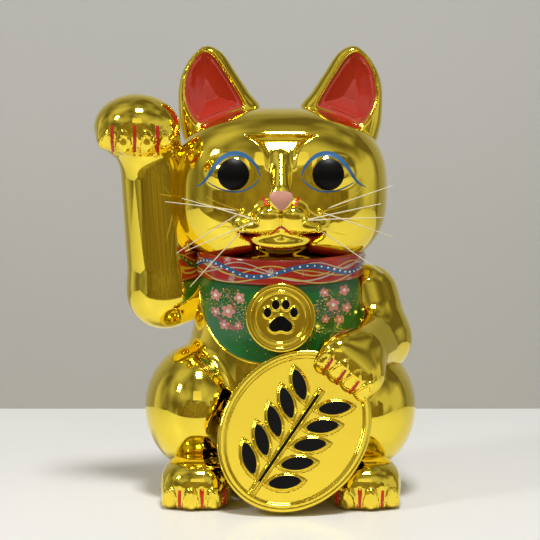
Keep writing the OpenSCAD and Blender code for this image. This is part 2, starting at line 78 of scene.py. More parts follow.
def mirrored(p):
    """The left half of a form stands for both halves."""
    return np.stack([np.abs(p[..., 0]), p[..., 1], p[..., 2]], -1)


def belly_form(p):
    belly = egg(p, (0, 10, 95), (77, 70, 98))
    chest = egg(p, (0, 3, 158), (67.5, 67, 57))
    seat = egg(p, (0, 14, 34), (78, 66, 44))
    return blend(blend(belly, chest, 14), seat, 20)


def torso_form(p):
    haunch = egg(mirrored(p), (66, -11, 70), (43, 56, 51))
    return carve(blend(belly_form(p), haunch, 6), p[..., 2], 4)


WALL = 4.5
SEAM_Z = 190
HOLE_Y, HOLE_R = 30, 20
RECESS_R, RECESS_H = 26, 4
SLOT_Z, SLOT_L, SLOT_W = 158, 42, 6


def hollow_body_form(p):
    """The cast shell, with the seam, the base hole and recess, and the coin slot."""
    x, y, z = p[..., 0], p[..., 1], p[..., 2]
    outer = torso_form(p)
    shell = np.maximum(outer, z - SEAM_Z)
    inner = np.maximum(outer + WALL, np.maximum(z - SEAM_Z + WALL, RECESS_H + WALL - z))
    shell = np.maximum(shell, -inner)
    from_hole = np.hypot(x, y - HOLE_Y)
    shell = carve(shell, np.maximum(from_hole - HOLE_R, z - 20), 0.8)
    shell = carve(shell, np.maximum(from_hole - RECESS_R, z - RECESS_H), 0.8)
    along = np.maximum(np.abs(x) - (SLOT_L - SLOT_W) / 2, 0)
    slot = np.maximum(np.hypot(along, z - SLOT_Z) - SLOT_W / 2, 20 - y)
    return carve(shell, slot, 1.2)


def slope_of(form, points):
    """Direction in which a form's distance grows fastest."""
    step = 0.05
    ways = np.eye(3) * step
    return np.stack([form(points + w) - form(points - w) for w in ways], -1) / (2 * step)


def settle(form, points, most):
    """Moves points onto a form's skin."""
    for _ in range(5):
        way = slope_of(form, points)
        push = -form(points) / np.maximum((way * way).sum(-1), 0.05)
        points = points + way * np.clip(push, -most, most)[:, None]
    return points


def sampled(form, low, high, cell):
    """A form's distances on a grid: coarse everywhere, fine near the skin."""
    block_n = 4
    low = np.array(low, float)
    n = np.ceil((np.array(high) - low) / (cell * block_n)).astype(int)
    middle = (block_n - 1) / 2
    axes = [(np.arange(n[i]) * block_n + middle) * cell + low[i] for i in range(3)]
    coarse = form(np.stack(np.meshgrid(*axes, indexing="ij"), -1))
    values = coarse
    for axis in range(3):
        values = np.repeat(values, block_n, axis)
    near = np.argwhere(np.abs(coarse) < 6.5 * cell) * block_n
    steps = np.stack(np.meshgrid(*[np.arange(block_n)] * 3, indexing="ij"), -1).reshape(-1, 3)
    spots = (near[:, None] + steps[None]).reshape(-1, 3)
    values[tuple(spots.T)] = form(low + spots * cell)
    return values


def skinned(values, low, cell):
    """One point in each grid cell that the skin crosses, and quads between them."""
    inside = values < 0
    size = np.array(inside.shape)
    corners = sum(
        inside[i : size[0] - 1 + i, j : size[1] - 1 + j, k : size[2] - 1 + k].astype(int)
        for i in (0, 1)
        for j in (0, 1)
        for k in (0, 1)
    )
    crossed = (corners > 0) & (corners < 8)
    number = np.full(crossed.shape, -1)
    number[crossed] = np.arange(crossed.sum())
    points = np.array(low, float) + (np.argwhere(crossed) + 0.5) * cell
    quads = []
    for a in range(3):
        b, c = (a + 1) % 3, (a + 2) % 3
        first = [slice(1, -1)] * 3
        second = [slice(1, -1)] * 3
        first[a], second[a] = slice(0, -1), slice(1, None)
        start, end = inside[tuple(first)], inside[tuple(second)]
        spots = np.argwhere(start != end) + np.array([0 if i == a else 1 for i in range(3)])
        outward = start[start != end]
        eb, ec = np.eye(3, dtype=int)[b], np.eye(3, dtype=int)[c]
        ring = [number[tuple((spots - back).T)] for back in (eb + ec, ec, eb * 0, eb)]
        quad = np.stack(ring, -1)
        quad[~outward] = quad[~outward][:, ::-1]
        quads.append(quad)
    return points, np.concatenate(quads)


def to_mesh(name, points, faces, material, body="cat", normals=None):
    """A smooth-shaded object at the origin, from points in millimetres."""
    mesh = bpy.data.meshes.new(name)
    mesh.from_pydata((points * MM).tolist(), [], [list(f) for f in faces])
    mesh.materials.append(material)
    mesh.shade_smooth()
    if normals is not None:
        mesh.normals_split_custom_set_from_vertices(normals.tolist())
    piece = bpy.data.objects.new(name, mesh)
    bpy.context.collection.objects.link(piece)
    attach(piece, body)
    return piece


def cast(name, form, low, high, cell, material, body="cat"):
    """A form cast as a mesh whose shading follows the form itself."""
    cell_points, quads = skinned(sampled(form, low, high, cell), low, cell)
    points = settle(form, cell_points, cell * 0.6)
    way = slope_of(form, points)
    way /= np.maximum(np.linalg.norm(way, axis=-1, keepdims=True), 1e-6)
    return to_mesh(name, points, quads.tolist(), material, body, way)


def linear(hex_colour):
    """An sRGB hex colour as the linear numbers that a shader wants."""
    parts = [int(hex_colour[i : i + 2], 16) / 255 for i in (1, 3, 5)]
    return [c / 12.92 if c <= 0.04045 else ((c + 0.055) / 1.055) ** 2.4 for c in parts] + [1]


def node(tree, kind, settings=None, links=None):
    """Adds a shader node, sets its inputs and attributes, and links sockets into it."""
    made = tree.nodes.new(kind)
    for key, value in (settings or {}).items():
        if isinstance(key, int) or key in made.inputs:
            made.inputs[key].default_value = value
        else:
            setattr(made, key, value)
    for key, socket in (links or {}).items():
        tree.links.new(socket, made.inputs[key])
    return made


def finish_coat(
    name, colour, other, roughness, metallic=0.0, mottle=60, grain=900, bump=0.02, coat=0.0,
    gleam=0.5
):
    """A hard surface whose colour, gloss and level all vary a little, as a hand-finished one does."""
    material = bpy.data.materials.new(name)
    material.use_nodes = True
    tree = material.node_tree
    shader = tree.nodes["Principled BSDF"]
    where = node(tree, "ShaderNodeTexCoord").outputs["Object"]
    cloud = node(tree, "ShaderNodeTexNoise", {"Scale": mottle, "Detail": 3.0}, {"Vector": where})
    fine = node(tree, "ShaderNodeTexNoise", {"Scale": grain, "Detail": 2.0}, {"Vector": where})
    tint = node(tree, "ShaderNodeMix", {"data_type": "RGBA"}, {"Factor": cloud.outputs["Fac"]})
    tint.inputs["A"].default_value = linear(colour)
    tint.inputs["B"].default_value = linear(other)
    gloss = node(
        tree,
        "ShaderNodeMapRange",
        {"To Min": roughness[0], "To Max": roughness[1]},
        {"Value": fine.outputs["Fac"]},
    )
    level = node(
        tree, "ShaderNodeBump", {
            "Strength": 0.25, "Distance": bump * MM
        }, {"Height": cloud.outputs["Fac"]}
    )
    tree.links.new(tint.outputs["Result"], shader.inputs["Base Color"])
    tree.links.new(gloss.outputs["Result"], shader.inputs["Roughness"])
    tree.links.new(level.outputs["Normal"], shader.inputs["Normal"])
    shader.inputs["Metallic"].default_value = metallic
    shader.inputs["Specular IOR Level"].default_value = gleam
    shader.inputs["Coat Weight"].default_value = coat
    shader.inputs["Coat Roughness"].default_value = 0.03
    return material


# Gold-coloured plating over a glossy glaze: a mirror with a lemon tint.
plating = finish_coat(
    "mirror_gold_plating", "#F8E04E", "#F3D744", (0.035, 0.075), metallic=1.0, bump=0.05
)
# Bare fired earthenware, chalky and unglazed, as the inside of the casting is left.
bare_clay = finish_coat("bare_fired_clay", "#D9CDB8", "#C9BBA2", (0.75, 0.9), mottle=35, bump=0.4)

torso = cast("torso_casting", hollow_body_form, (-114, -74, -4), (114, 88, 194), 2.0, plating)
torso.data.materials.append(bare_clay)
PLATED_DEPTH = 2.2
deep = torso_form(np.array([face.center for face in torso.data.polygons]) / MM) < -PLATED_DEPTH
torso.data.polygons.foreach_set("material_index", deep.astype(int))
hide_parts("torso")

# ---------------------------------------------------------------- head
# The head is cast in its own mould, cut flat below the chin and luted onto
# the body with slip. Brow, lids, nose, muzzle and lips are all in the mould.


def block(p, at, r, power):
    """Distance from an egg with squarer shoulders."""
    r = np.array(r, float)
    q = np.abs(p - np.array(at, float)) / r
    total = np.maximum((q**power).sum(-1), 1e-9)
    steep = np.linalg.norm(q ** (power - 1) / r, axis=-1) * total ** (1 / power - 1)
    return (total ** (1 / power) - 1) / np.maximum(steep, 1e-6)


def limb(p, a, b, ra, rb):
    """Distance from a rod with round ends of two radii."""
    a, b = np.array(a, float), np.array(b, float)
    t = np.clip(((p - a) @ (b - a)) / ((b - a) @ (b - a)), 0, 1)
    return np.linalg.norm(p - a - t[..., None] * (b - a), axis=-1) - (ra + (rb - ra) * t)


def skull_form(p):
    return block(p, (0, 2, 244), (86, 70, 66), 2.6)


BROW_Z = 286.5


def brow_half_width(z):
    """Half the width of the hollow between the brows, which ends above in two sharp corners."""
    up = np.clip((z - 262) / (BROW_Z - 262), 0, 1)
    return 11.5 + 15 * up**3.5


def face_form(p):
    m = mirrored(p)
    skull = skull_form(p)
    form = carve(skull, egg(m, (39, -90, 258), (31, 26, 19.5)), 5)
    form = blend(form, egg(m, (36.5, -49, 257), (24, 20, 18.5)), 2)
    low_end = np.maximum(BROW_Z - 25 - p[..., 2], 0)
    scoop = low_end + np.maximum(m[..., 0] - brow_half_width(p[..., 2]), p[..., 2] - BROW_Z)
    scoop = np.maximum(scoop, p[..., 1] + 25)
    sunk = 5.0 * np.clip((p[..., 2] - 258) / 26, 0, 1)
    form = carve(form, -blend(-scoop, skull + sunk, 5), 2)
    form = blend(form, limb(p, (0, -60, 268), (0, -75, 245), 5.5, 7.5), 4)
    form = blend(form, egg(m, (9, -71, 225), (11, 10, 8.5)), 7)
    form = blend(form, egg(m, (14, -63.5, 216), (21, 12, 7)), 8)
    form = blend(form, egg(p, (0, -60.5, 204), (20, 12, 6.5)), 7)
    return blend(form, egg(p, (0, -79, 238), (9.5, 5, 9.5)), 2)


def head_form(p):
    return carve(face_form(p), p[..., 2] - SEAM_Z, 1)


head = cast("head_casting", head_form, (-90, -92, 186), (90, 76, 314), 1.3, plating)
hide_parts("head")

# ---------------------------------------------------------------- ears
# Two rounded shells of clay, cast solid and let into the crown. The hollow in front
# of each is painted deep red, inside a thin gold rim.


def spline(points, n, loop=False):
    """A smooth line through a few points."""
    points = np.array(points, float)
    count = len(points)
    if loop:
        padded = points[[-1, *range(count), 0, 1]]
    else:
        padded = np.concatenate([[2 * points[0] - points[1]], points, [2 * points[-1] - points[-2]]])
    spans = count if loop else count - 1
    t = np.linspace(0, spans, n + 1)[:n] if loop else np.linspace(0, spans, n)
    i = np.minimum(t.astype(int), spans - 1)
    f = (t - i)[:, None]
    a, b, c, d = padded[i], padded[i + 1], padded[i + 2], padded[i + 3]
    return 0.5 * (
        2 * b + (c - a) * f + (2 * a - 5 * b + 4 * c - d) * f**2 + (3 * b - a - 3 * c + d) * f**3
    )


def outline_distance(x, z, outline):
    """Distance from a closed outline on the front view, less than zero inside it."""
    best, inside = np.full(x.shape, 1e9), np.zeros(x.shape, bool)
    for (ax, az), (bx, bz) in zip(outline, np.roll(outline, -1, 0)):
        ex, ez = bx - ax, bz - az
        t = np.clip(((x - ax) * ex + (z - az) * ez) / (ex * ex + ez * ez), 0, 1)
        best = np.minimum(best, (x - ax - t * ex) ** 2 + (z - az - t * ez) ** 2)
        if az != bz:
            inside ^= ((az > z) != (bz > z)) & (x < ex * (z - az) / ez + ax)
    return np.where(inside, -1, 1) * np.sqrt(best)


EAR_Y, EAR_ROUND, EAR_HALF_T, DISH_DEPTH, DISH_SLOPE = 5, 12, 10, 9, 16
EAR_OUTLINE = spline(
    (
        (59.5, 360), (69.5, 353.5), (78, 341), (82, 327), (82.4, 311), (80.5, 293), (73, 277), (50, 276),
        (27, 291), (16, 309), (25, 322.5), (35.5, 338), (47, 354.5),
    ),
    52,
    loop=True,
)
EAR_RED = spline(
    (
        (61.5, 356.5), (69.5, 351), (76, 338), (78.2, 321), (74.5, 306.5), (66.5, 296), (57, 298.5),
        (47, 302.5), (36, 307), (28.5, 311.5), (35.5, 325.5), (44.2, 339.4), (53, 352),
    ),
    52,
    loop=True,
)


def ear_half_t(p):
    """Half the ear's thickness from front to back, which grows towards the root."""
    return EAR_HALF_T + 8 * np.clip((350 - p[..., 2]) / 70, 0, 1)


def ear_form(p):
    m = mirrored(p)
    edge = outline_distance(m[..., 0], m[..., 2], EAR_OUTLINE)
    return np.hypot(
        np.maximum(edge + EAR_ROUND, 0), (m[..., 1] - EAR_Y) * EAR_ROUND / ear_half_t(m)
    ) - EAR_ROUND


def dished_ear_form(p):
    m = mirrored(p)
    edge = outline_distance(m[..., 0], m[..., 2], EAR_RED)
    depth = DISH_DEPTH * np.sqrt(np.clip(-edge / DISH_SLOPE, 0, 1))
    dish = np.maximum(
        edge, m[..., 1] - (EAR_Y - ear_half_t(m) + 3 + depth - 3 * np.clip(-edge / 5, 0, 1))
    )
    return carve(ear_form(p), dish, 1.6)


def left_side(form):
    """Only the half of a mirrored form that lies on the cat's own left."""
    return lambda p: np.maximum(form(p), -p[..., 0])


def right_side(form):
    return lambda p: np.maximum(form(p), p[..., 0])


for side, half in (("left", left_side), ("right", right_side)):
    low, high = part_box(side + "_ear")
    low = np.array(low) / MM - (8, 16, 4)
    high = np.array(high) / MM + (8, 16, 4)
    ear = cast(side + "_ear_shell", half(dished_ear_form), low, high, 1.2, plating)
    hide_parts(side + "_ear")

# ---------------------------------------------------------------- raised arm
# The right arm is cast apart and luted to the shoulder and the cheek. Four
# toes hang over the front of the paw, with grooves between them.
RAISED_TOES = (-136, -121.5, -104, -90.5)
RAISED_LINES = (-130.6, -112.8, -95.4)


def arched(form, across, up, behind, toes, base, wide, tall):
    """A form with a thin raised arch over each toe."""
    ring = np.min([np.abs(np.hypot((across - toe) / wide, (up - base) / tall) - 1) for toe in toes], 0)
    ridge = np.maximum.reduce([ring * wide - 0.7, base - up, behind, form - 0.8])
    return blend(form, ridge, 1.2)


def raised_form(p):
    form = limb(p, (-66, 12, 166), (-94, 4, 162), 26, 29)
    form = blend(form, limb(p, (-94, 4, 162), (-99.5, -8, 258), 29, 28.5), 8)
    form = blend(form, egg(p, (-113.5, -24, 293.5), (34, 33, 26.5)), 16)
    for x in RAISED_TOES:
        edge = abs(x + 113.5) / 26
        form = blend(
            form, egg(p, (x, -45 + 11 * edge**2, 283 + 3.5 * edge**2), (8.5, 10, 12 - 2 * edge)),
            2.5
        )
    for x in RAISED_LINES:
        groove = limb(p, (x, -57, 272), (1.1 * x + 11, -60, 297), 2.2, 1.6)
        form = carve(form, groove, 1.5)
    return arched(form, p[..., 0], p[..., 2], p[..., 1] + 30, RAISED_TOES, 271, 6.2, 17)


raised = cast("raised_arm_casting", raised_form, (-152, -62, 126), (-40, 44, 324), 1.5, plating)
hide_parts("raised_arm")

# ---------------------------------------------------------------- resting arm
# The left arm comes forward from the shoulder and its paw lies over the
# edge of the coin, with the toes on the coin's face.
COIN_TURN, COIN_LEAN = math.radians(34), math.radians(20)
COIN_L, COIN_W, COIN_T = 132, 111, 12
coin_low, coin_high = (np.array(corner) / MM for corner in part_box("coin"))
coin_at = (coin_low + coin_high) / 2
coin_up = np.array(
    [
        math.sin(COIN_TURN), math.sin(COIN_LEAN) * math.cos(COIN_TURN),
        math.cos(COIN_LEAN) * math.cos(COIN_TURN)
    ]
)
coin_out = np.array([0, -math.cos(COIN_LEAN), math.sin(COIN_LEAN)])
coin_side = np.cross(coin_up, coin_out)


def coin_plane_y(z):
    return coin_at[1] + (z - coin_at[2]) * math.tan(COIN_LEAN)


PAW_Y = coin_plane_y(118) - 8
TOE_WAY, TOE_ROW = np.array([-0.64, 0, -0.77]), np.array([0.77, 0, -0.64])


def resting_form(p):
    form = limb(p, (70, 4, 158), (78, -12, 125), 26, 26)
    form = blend(form, limb(p, (78, -12, 125), (61, -54, 117), 26, 22), 8)
    form = blend(form, limb(p, (45, PAW_Y, 118), (63, PAW_Y, 102), 17, 17), 12)
    for t in (-1.5, -0.5, 0.5, 1.5):
        knuckle = np.array([54 + 10 * t, PAW_Y - 7, 110 - 8.4 * t])
        form = blend(form, limb(p, knuckle, knuckle + 11 * TOE_WAY, 7.2, 6.2), 2.5)
    across, up = (p - (54, 0, 110)) @ TOE_ROW, -(p - (54, 0, 110)) @ TOE_WAY
    return arched(form, across, up, p[..., 1] - PAW_Y, (-19.6, -6.5, 6.5, 19.6), -15, 4.4, 14)


resting = cast("resting_arm_casting", resting_form, (18, -104, 76), (112, 36, 190), 1.3, plating)
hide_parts("resting_arm")

# ---------------------------------------------------------------- feet
# The hind feet are pads luted in front of the haunches, flat underneath,
# with four toes each.
FOOT_TOES = (51.5, 68.5, 85)
FOOT_LINES = (43.3, 60, 77.3)


def foot_form(p):
    m = mirrored(p)
    form = block(m, (65, -58, 16), (28.5, 34, 22), 2.5)
    for x in FOOT_TOES:
        edge = abs(x - 64.3) / 20
        form = blend(form, egg(m, (x, -82.5 + 7 * edge * edge, 11), (7, 10.5, 13)), 2.0)
    for x in FOOT_LINES:
        form = carve(form, limb(m, (x, -94, 0), (x, -91, 17), 2.2, 1.2), 1.5)
    form = arched(form, m[..., 0], m[..., 2], m[..., 1] + 70, (*FOOT_TOES, 38), 0.5, 5.8, 15.5)
    return carve(form, p[..., 2], 3)


for side, half in (("left", left_side), ("right", right_side)):
    low, high = (np.array(corner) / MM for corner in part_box(side + "_foot"))
    foot = cast(side + "_foot_pad", half(foot_form), low - (5, 5, 3), high + (5, 3, 3), 1.25, plating)
    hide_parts(side + "_foot")

# ---------------------------------------------------------------- tail
# A short curl of clay, rolled by hand and laid along the foot of the back
# while both are wet, then glazed and plated with the body.


def reach(form, start, way, far):
    """How far along each ray the skin of a form is met, from outside."""
    near, last = np.zeros(len(start)), np.full(len(start), float(far))
    steps = np.linspace(0, far, 60)
    found = np.zeros(len(start), bool)
    for a, b in zip(steps[:-1], steps[1:]):
        met = ~found & (form(start + b * way) < 0)
        near[met], last[met] = a, b
        found |= met
    for _ in range(16):
        half_way = (near + last) / 2
        met = form(start + half_way[:, None] * way) < 0
        last = np.where(met, half_way, last)
        near = np.where(met, near, half_way)
    return last


def tail_spine(t):
    x, z = 30 * np.sin(t * math.pi / 2), 14 + 34 * (1 - np.cos(t * math.pi / 2))
    start = np.stack([x, x * 0 + 130, z], -1)
    y = 130 - reach(torso_form, start, np.array([0, -1, 0]), 120)
    return np.stack([x, y + 4.5, z], -1)


tail_points = tail_spine(np.linspace(0, 1, 12))


def tail_form(p):
    form = np.full(p.shape[:-1], 1e3)
    for i in range(len(tail_points) - 1):
        r = 8.6 - 0.16 * i
        form = blend(form, limb(p, tail_points[i], tail_points[i + 1], r, r - 0.16), 0.5)
    return form


tail = cast("tail_curl", tail_form, (-12, 60, 2), (42, 94, 62), 1.5, plating)
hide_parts("tail")

# ---------------------------------------------------------------- collar
# A band of red enamel round the neck, painted with a wavy blue ribbon, silver
# and gold swirls, and sprays of silver, with raised white dots along the
# ribbon.
COLLAR_H, COLLAR_T, COLLAR_Z, NECK_Y, NECK_DEPTH = 20, 5, 188, 4, 66
COLLAR_SLOPE = math.tan(math.radians(6))


def neck_form(p):
    return np.where(p[..., 2] < SEAM_Z, torso_form(p), face_form(p))


def neck_radius(angle, z):
    way = np.stack([np.cos(angle), np.sin(angle), angle * 0], -1)
    start = way * 140 + np.stack([angle * 0, angle * 0 + NECK_Y, z], -1)
    return 140 - reach(neck_form, start, -way, 120)


def collar_middle(angle):
    return COLLAR_Z + COLLAR_SLOPE * NECK_DEPTH * np.sin(angle)


def collar_face(angle):
    middle = collar_middle(angle)
    return np.maximum(neck_radius(angle, middle - COLLAR_H / 2), neck_radius(angle, middle)) + COLLAR_T


def rounds(t):
    """Full turns as angles."""
    return np.arange(t) * 2 * math.pi / t


def joined_rings(count, turns, loop=False):
    """Faces between rings of points; the first and last ring are closed with a cap unless they meet."""
    faces = []
    for i in range(count if loop else count - 1):
        for j in range(turns):
            a, b = i * turns + j, i * turns + (j + 1) % turns
            k = ((i + 1) % count) * turns
            faces.append((a, b, k + (j + 1) % turns, k + j))
    if not loop:
        faces.append(tuple(range(turns))[::-1])
        faces.append(tuple((count - 1) * turns + j for j in range(turns)))
    return faces


def outward(points, faces):
    """The same faces, turned so that they point out of a closed shape."""
    volume = 0.0
    for face in faces:
        a = points[face[0]]
        for j in range(1, len(face) - 1):
            volume += a @ np.cross(points[face[j]], points[face[j + 1]])
    return [f[::-1] for f in faces] if volume < 0 else faces


def closed(name, points, faces, material, body="cat", normals=None):
    return to_mesh(name, points, outward(points, faces), material, body, normals)


collar_turns = rounds(160)
collar_r = collar_face(collar_turns)
collar_r = sum(np.roll(collar_r, i) for i in (-2, -1, 0, 1, 2)) / 5
profile = [
    (0.2, 1.0), (1.2, 0.98), (1.9, 0.9), (2, 0.75), (2, 0.4), (2, 0), (2, -0.4), (2, -0.75),
    (1.9, -0.9), (1.2, -0.98), (0.2, -1)
]
profile += [(-COLLAR_T - 1.5, h) for h in (-1, -0.5, 0, 0.5, 1)]
rings = []
for out, h in profile:
    z = collar_middle(collar_turns) + h * COLLAR_H / 2
    r = collar_r + out - 2
    rings.append(np.stack([r * np.cos(collar_turns), NECK_Y + r * np.sin(collar_turns), z], -1))

# Gloss enamel over red slip; the ribbon and the swirls are drawn on it with a thin brush.
collar_enamel = finish_coat("red_collar_enamel", "#B3231A", "#9C1B14", (0.1, 0.2), mottle=80, coat=0.6)


def painted_over(material, mask, colour):
    """Lays another colour over what the material already has, where the mask is 1."""
    tree = material.node_tree
    socket = tree.nodes["Principled BSDF"].inputs["Base Color"]
    under = socket.links[0].from_socket
    over = node(tree, "ShaderNodeMix", {"data_type": "RGBA"}, {"Factor": mask, "A": under})
    over.inputs["B"].default_value = linear(colour)
    tree.links.new(over.outputs["Result"], socket)


collar_tree = collar_enamel.node_tree
place = node(collar_tree, "ShaderNodeTexCoord").outputs["Object"]
xyz = node(collar_tree, "ShaderNodeSeparateXYZ", {}, {"Vector": place}).outputs
ahead = node(collar_tree, "ShaderNodeMath", {"operation": "MULTIPLY", 1: -1.0}, {0: xyz["Y"]})
turn = node(collar_tree, "ShaderNodeMath", {"operation": "ARCTAN2"}, {0: xyz["X"], 1: ahead.outputs[0]})
# How high a place is above the middle of the band, which slopes down to the front.
sloped = node(
    collar_tree, "ShaderNodeMath", {
        "operation": "MULTIPLY_ADD", 1: -COLLAR_SLOPE
    }, {0: xyz["Y"], 2: xyz["Z"]}
)
height = node(
    collar_tree, "ShaderNodeMath", {"operation": "SUBTRACT", 1: COLLAR_Z * MM},
    {0: sloped.outputs[0]}
)


def brush_wave(waves, phase, rise, at, half_width):
    """1 on a line that waves round the neck, 0 off it."""
    tree, kind = collar_tree, "ShaderNodeMath"
    run = node(tree, kind, {"operation": "MULTIPLY_ADD", 1: waves, 2: phase}, {0: turn.outputs[0]})
    swing = node(tree, kind, {"operation": "SINE"}, {0: run.outputs[0]})
    line = node(
        tree, kind, {"operation": "MULTIPLY_ADD", 1: rise * MM, 2: at * MM}, {0: swing.outputs[0]}
    )
    gap = node(tree, kind, {"operation": "SUBTRACT"}, {0: height.outputs[0], 1: line.outputs[0]})
    off = node(tree, kind, {"operation": "ABSOLUTE"}, {0: gap.outputs[0]})
    return node(
        tree, kind, {"operation": "LESS_THAN", 1: half_width * MM}, {0: off.outputs[0]}
    ).outputs[0]


RIBBON_WAVES, RIBBON_RISE, RIBBON_AT = 5.0, 4.2, 0.5
for waves, phase, rise, at, half_width, colour in (
    (5.0, 0.6, 3.2, -1.5, 0.5, "#B9A24A"),
    (6.0, 2.2, 4.0, 1.0, 0.45, "#C9B45A"),
    (4.0, 3.6, 4.6, -2.0, 0.55, "#B8B3A6"),
    (7.0, 5.0, 3.4, 3.5, 0.4, "#C2BBAA"),
    (5.0, 1.9, 3.0, -6.5, 0.55, "#C9B45A"),
    (RIBBON_WAVES, 0.0, RIBBON_RISE, RIBBON_AT, 1.8, "#2C5E93"),
):
    painted_over(collar_enamel, brush_wave(waves, phase, rise, at, half_width), colour)
spray = node(collar_tree, "ShaderNodeTexVoronoi", {"Scale": 55.0, "Randomness": 1.0}, {"Vector": place})
speck = node(collar_tree, "ShaderNodeTexNoise", {"Scale": 1500.0, "Detail": 2.0}, {"Vector": place})
burst = {"From Min": 0.1, "From Max": 0.36, "To Min": 0.46, "To Max": 0.8}
near = node(collar_tree, "ShaderNodeMapRange", burst, {"Value": spray.outputs["Distance"]})
silver = node(
    collar_tree,
    "ShaderNodeMath",
    {"operation": "GREATER_THAN"},
    {0: speck.outputs["Fac"], 1: near.outputs["Result"]},
)
painted_over(collar_enamel, silver.outputs[0], "#BDB9B4")

collar = closed(
    "collar_band", np.concatenate(rings), joined_rings(len(rings), len(collar_turns), loop=True),
    collar_enamel
)
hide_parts("collar")


def grown(name, points, edges, tree, values):
    """A plain mesh grown once by a node tree on points in millimetres, with the tree's inputs set."""
    mesh = bpy.data.meshes.new(name)
    mesh.from_pydata((np.array(points) * MM).tolist(), edges, [])
    piece = bpy.data.objects.new(name, mesh)
    bpy.context.collection.objects.link(piece)
    work = piece.modifiers.new(name, "NODES")
    work.node_group = tree
    for item in tree.interface.items_tree:
        if item.name in values:
            work[item.identifier] = values[item.name]
    bpy.context.view_layer.update()
    plain = bpy.data.meshes.new_from_object(piece.evaluated_get(bpy.context.evaluated_depsgraph_get()))
    piece.modifiers.clear()
    piece.data = plain
    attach(piece, "cat")
    return piece


def with_sockets(name, sockets):
    """A new geometry tree with geometry in and out and the named inputs."""
    tree = bpy.data.node_groups.new(name, "GeometryNodeTree")
    tree.interface.new_socket(name="Geometry", in_out="INPUT", socket_type="NodeSocketGeometry")
    tree.interface.new_socket(name="Geometry", in_out="OUTPUT", socket_type="NodeSocketGeometry")
    for key, kind in sockets:
        tree.interface.new_socket(name=key, in_out="INPUT", socket_type=kind)
    return tree, node(tree, "NodeGroupInput").outputs, node(tree, "NodeGroupOutput")


def dots(name, places, size, spread, material, seed=1, detail=2):
    """Drops of paint on a list of places: one small round drop on each, sizes varied."""
    sockets = (
        ("Drop size", "NodeSocketFloat"), ("Size spread", "NodeSocketFloat"),
        ("Seed", "NodeSocketInt")
    )
    tree, given, end = with_sockets("drops_on_points", sockets)
    least = node(tree, "ShaderNodeMath", {"operation": "SUBTRACT", 0: 1.0}, {1: given["Size spread"]})
    chance = node(
        tree, "FunctionNodeRandomValue", {"data_type": "FLOAT", 3: 1.0}, {
            2: least.outputs[0], "Seed": given["Seed"]
        }
    )
    drop = node(
        tree, "GeometryNodeMeshIcoSphere", {"Subdivisions": detail}, {"Radius": given["Drop size"]}
    )
    smooth = node(tree, "GeometryNodeSetShadeSmooth", {}, {"Geometry": drop.outputs["Mesh"]})
    put = node(
        tree,
        "GeometryNodeInstanceOnPoints",
        {},
        {"Points": given["Geometry"], "Instance": smooth.outputs["Geometry"], "Scale": chance.outputs[1]},
    )
    real = node(tree, "GeometryNodeRealizeInstances", {}, {"Geometry": put.outputs["Instances"]})
    paint = node(
        tree, "GeometryNodeSetMaterial", {"Material": material},
        {"Geometry": real.outputs["Geometry"]}
    )
    tree.links.new(paint.outputs["Geometry"], end.inputs["Geometry"])
    return grown(name, places, [], tree, {"Drop size": size * MM, "Size spread": spread, "Seed": seed})


def on_collar(angle, height_mm, out=0.0):
    """A place on the collar's face, at an angle to the right of its front."""
    a = angle - math.pi / 2
    r = np.interp(
        np.mod(a, 2 * math.pi), np.append(collar_turns, 2 * math.pi),
        np.append(collar_r, collar_r[0])
    ) + out
    return np.stack([r * np.cos(a), NECK_Y + r * np.sin(a), collar_middle(a) + height_mm], -1)


# White slip put on with a pin, in drops about a millimetre across.
white_slip = finish_coat("white_slip_drops", "#F1EFEA", "#E2E0DA", (0.15, 0.25), mottle=300)
ribbon = np.linspace(-math.pi, math.pi, 76)[:-1]
ribbon_height = RIBBON_RISE * np.sin(RIBBON_WAVES * ribbon) + RIBBON_AT
ribbon_dots = dots("collar_ribbon_dots", on_collar(ribbon, ribbon_height), 1.05, 0.25, white_slip)

# ---------------------------------------------------------------- bib
# A bib of green enamel on the chest, flat on it, its lower edge a gold line.
# Plum blossom is painted on it, and gold and silver glitter is shaken on the
# wet enamel round the medallion.
BIB_R, BIB_L, BIB_T, BIB_SQUARE = 65, 72, 1.2, 2.7
BIB_TOP = float(collar_middle(np.array(-math.pi / 2)))


def on_chest(x, z, out):
    """Places on the chest under points of the bib's pattern."""
    x, z = np.broadcast_arrays(np.array(x, float), np.array(z, float))
    out = np.broadcast_to(out, x.shape).reshape(-1)
    start = np.stack([x, x * 0 - 120, z], -1).reshape(-1, 3)
    y = -120 + reach(lambda p: belly_form(p) - out, start, np.array([0, 1, 0]), 140)
    return np.stack([x, y.reshape(x.shape), z], -1)


def bib_edge_at(turn):
    """The bib's outline: nearly straight sides and a round lower edge."""
    c, s = np.abs(np.cos(turn)), np.abs(np.sin(turn))
    r = ((c / BIB_R) ** BIB_SQUARE + (s / BIB_L) ** BIB_SQUARE) ** (-1 / BIB_SQUARE)
    return np.stack([r * np.cos(turn), BIB_TOP + r * np.sin(turn)], -1)


bib_turns = np.linspace(math.pi, 2 * math.pi, 81)
bib_rows = np.array([0.06, 0.2, 0.35, 0.5, 0.65, 0.78, 0.88, 0.94, 0.98, 1.0])
bib_flat = (0, BIB_TOP) + bib_rows[:, None, None] * (bib_edge_at(bib_turns) - (0, BIB_TOP))
bib_x, bib_z = bib_flat[..., 0], bib_flat[..., 1]
bib_in = np.minimum(1, (1 - bib_rows) / 0.03)[:, None]
upper = on_chest(bib_x, bib_z, BIB_T - 0.5 * (1 - bib_in) ** 2)
under = on_chest(bib_x, bib_z, -0.5)
loop_points = np.concatenate([upper, under[::-1]])
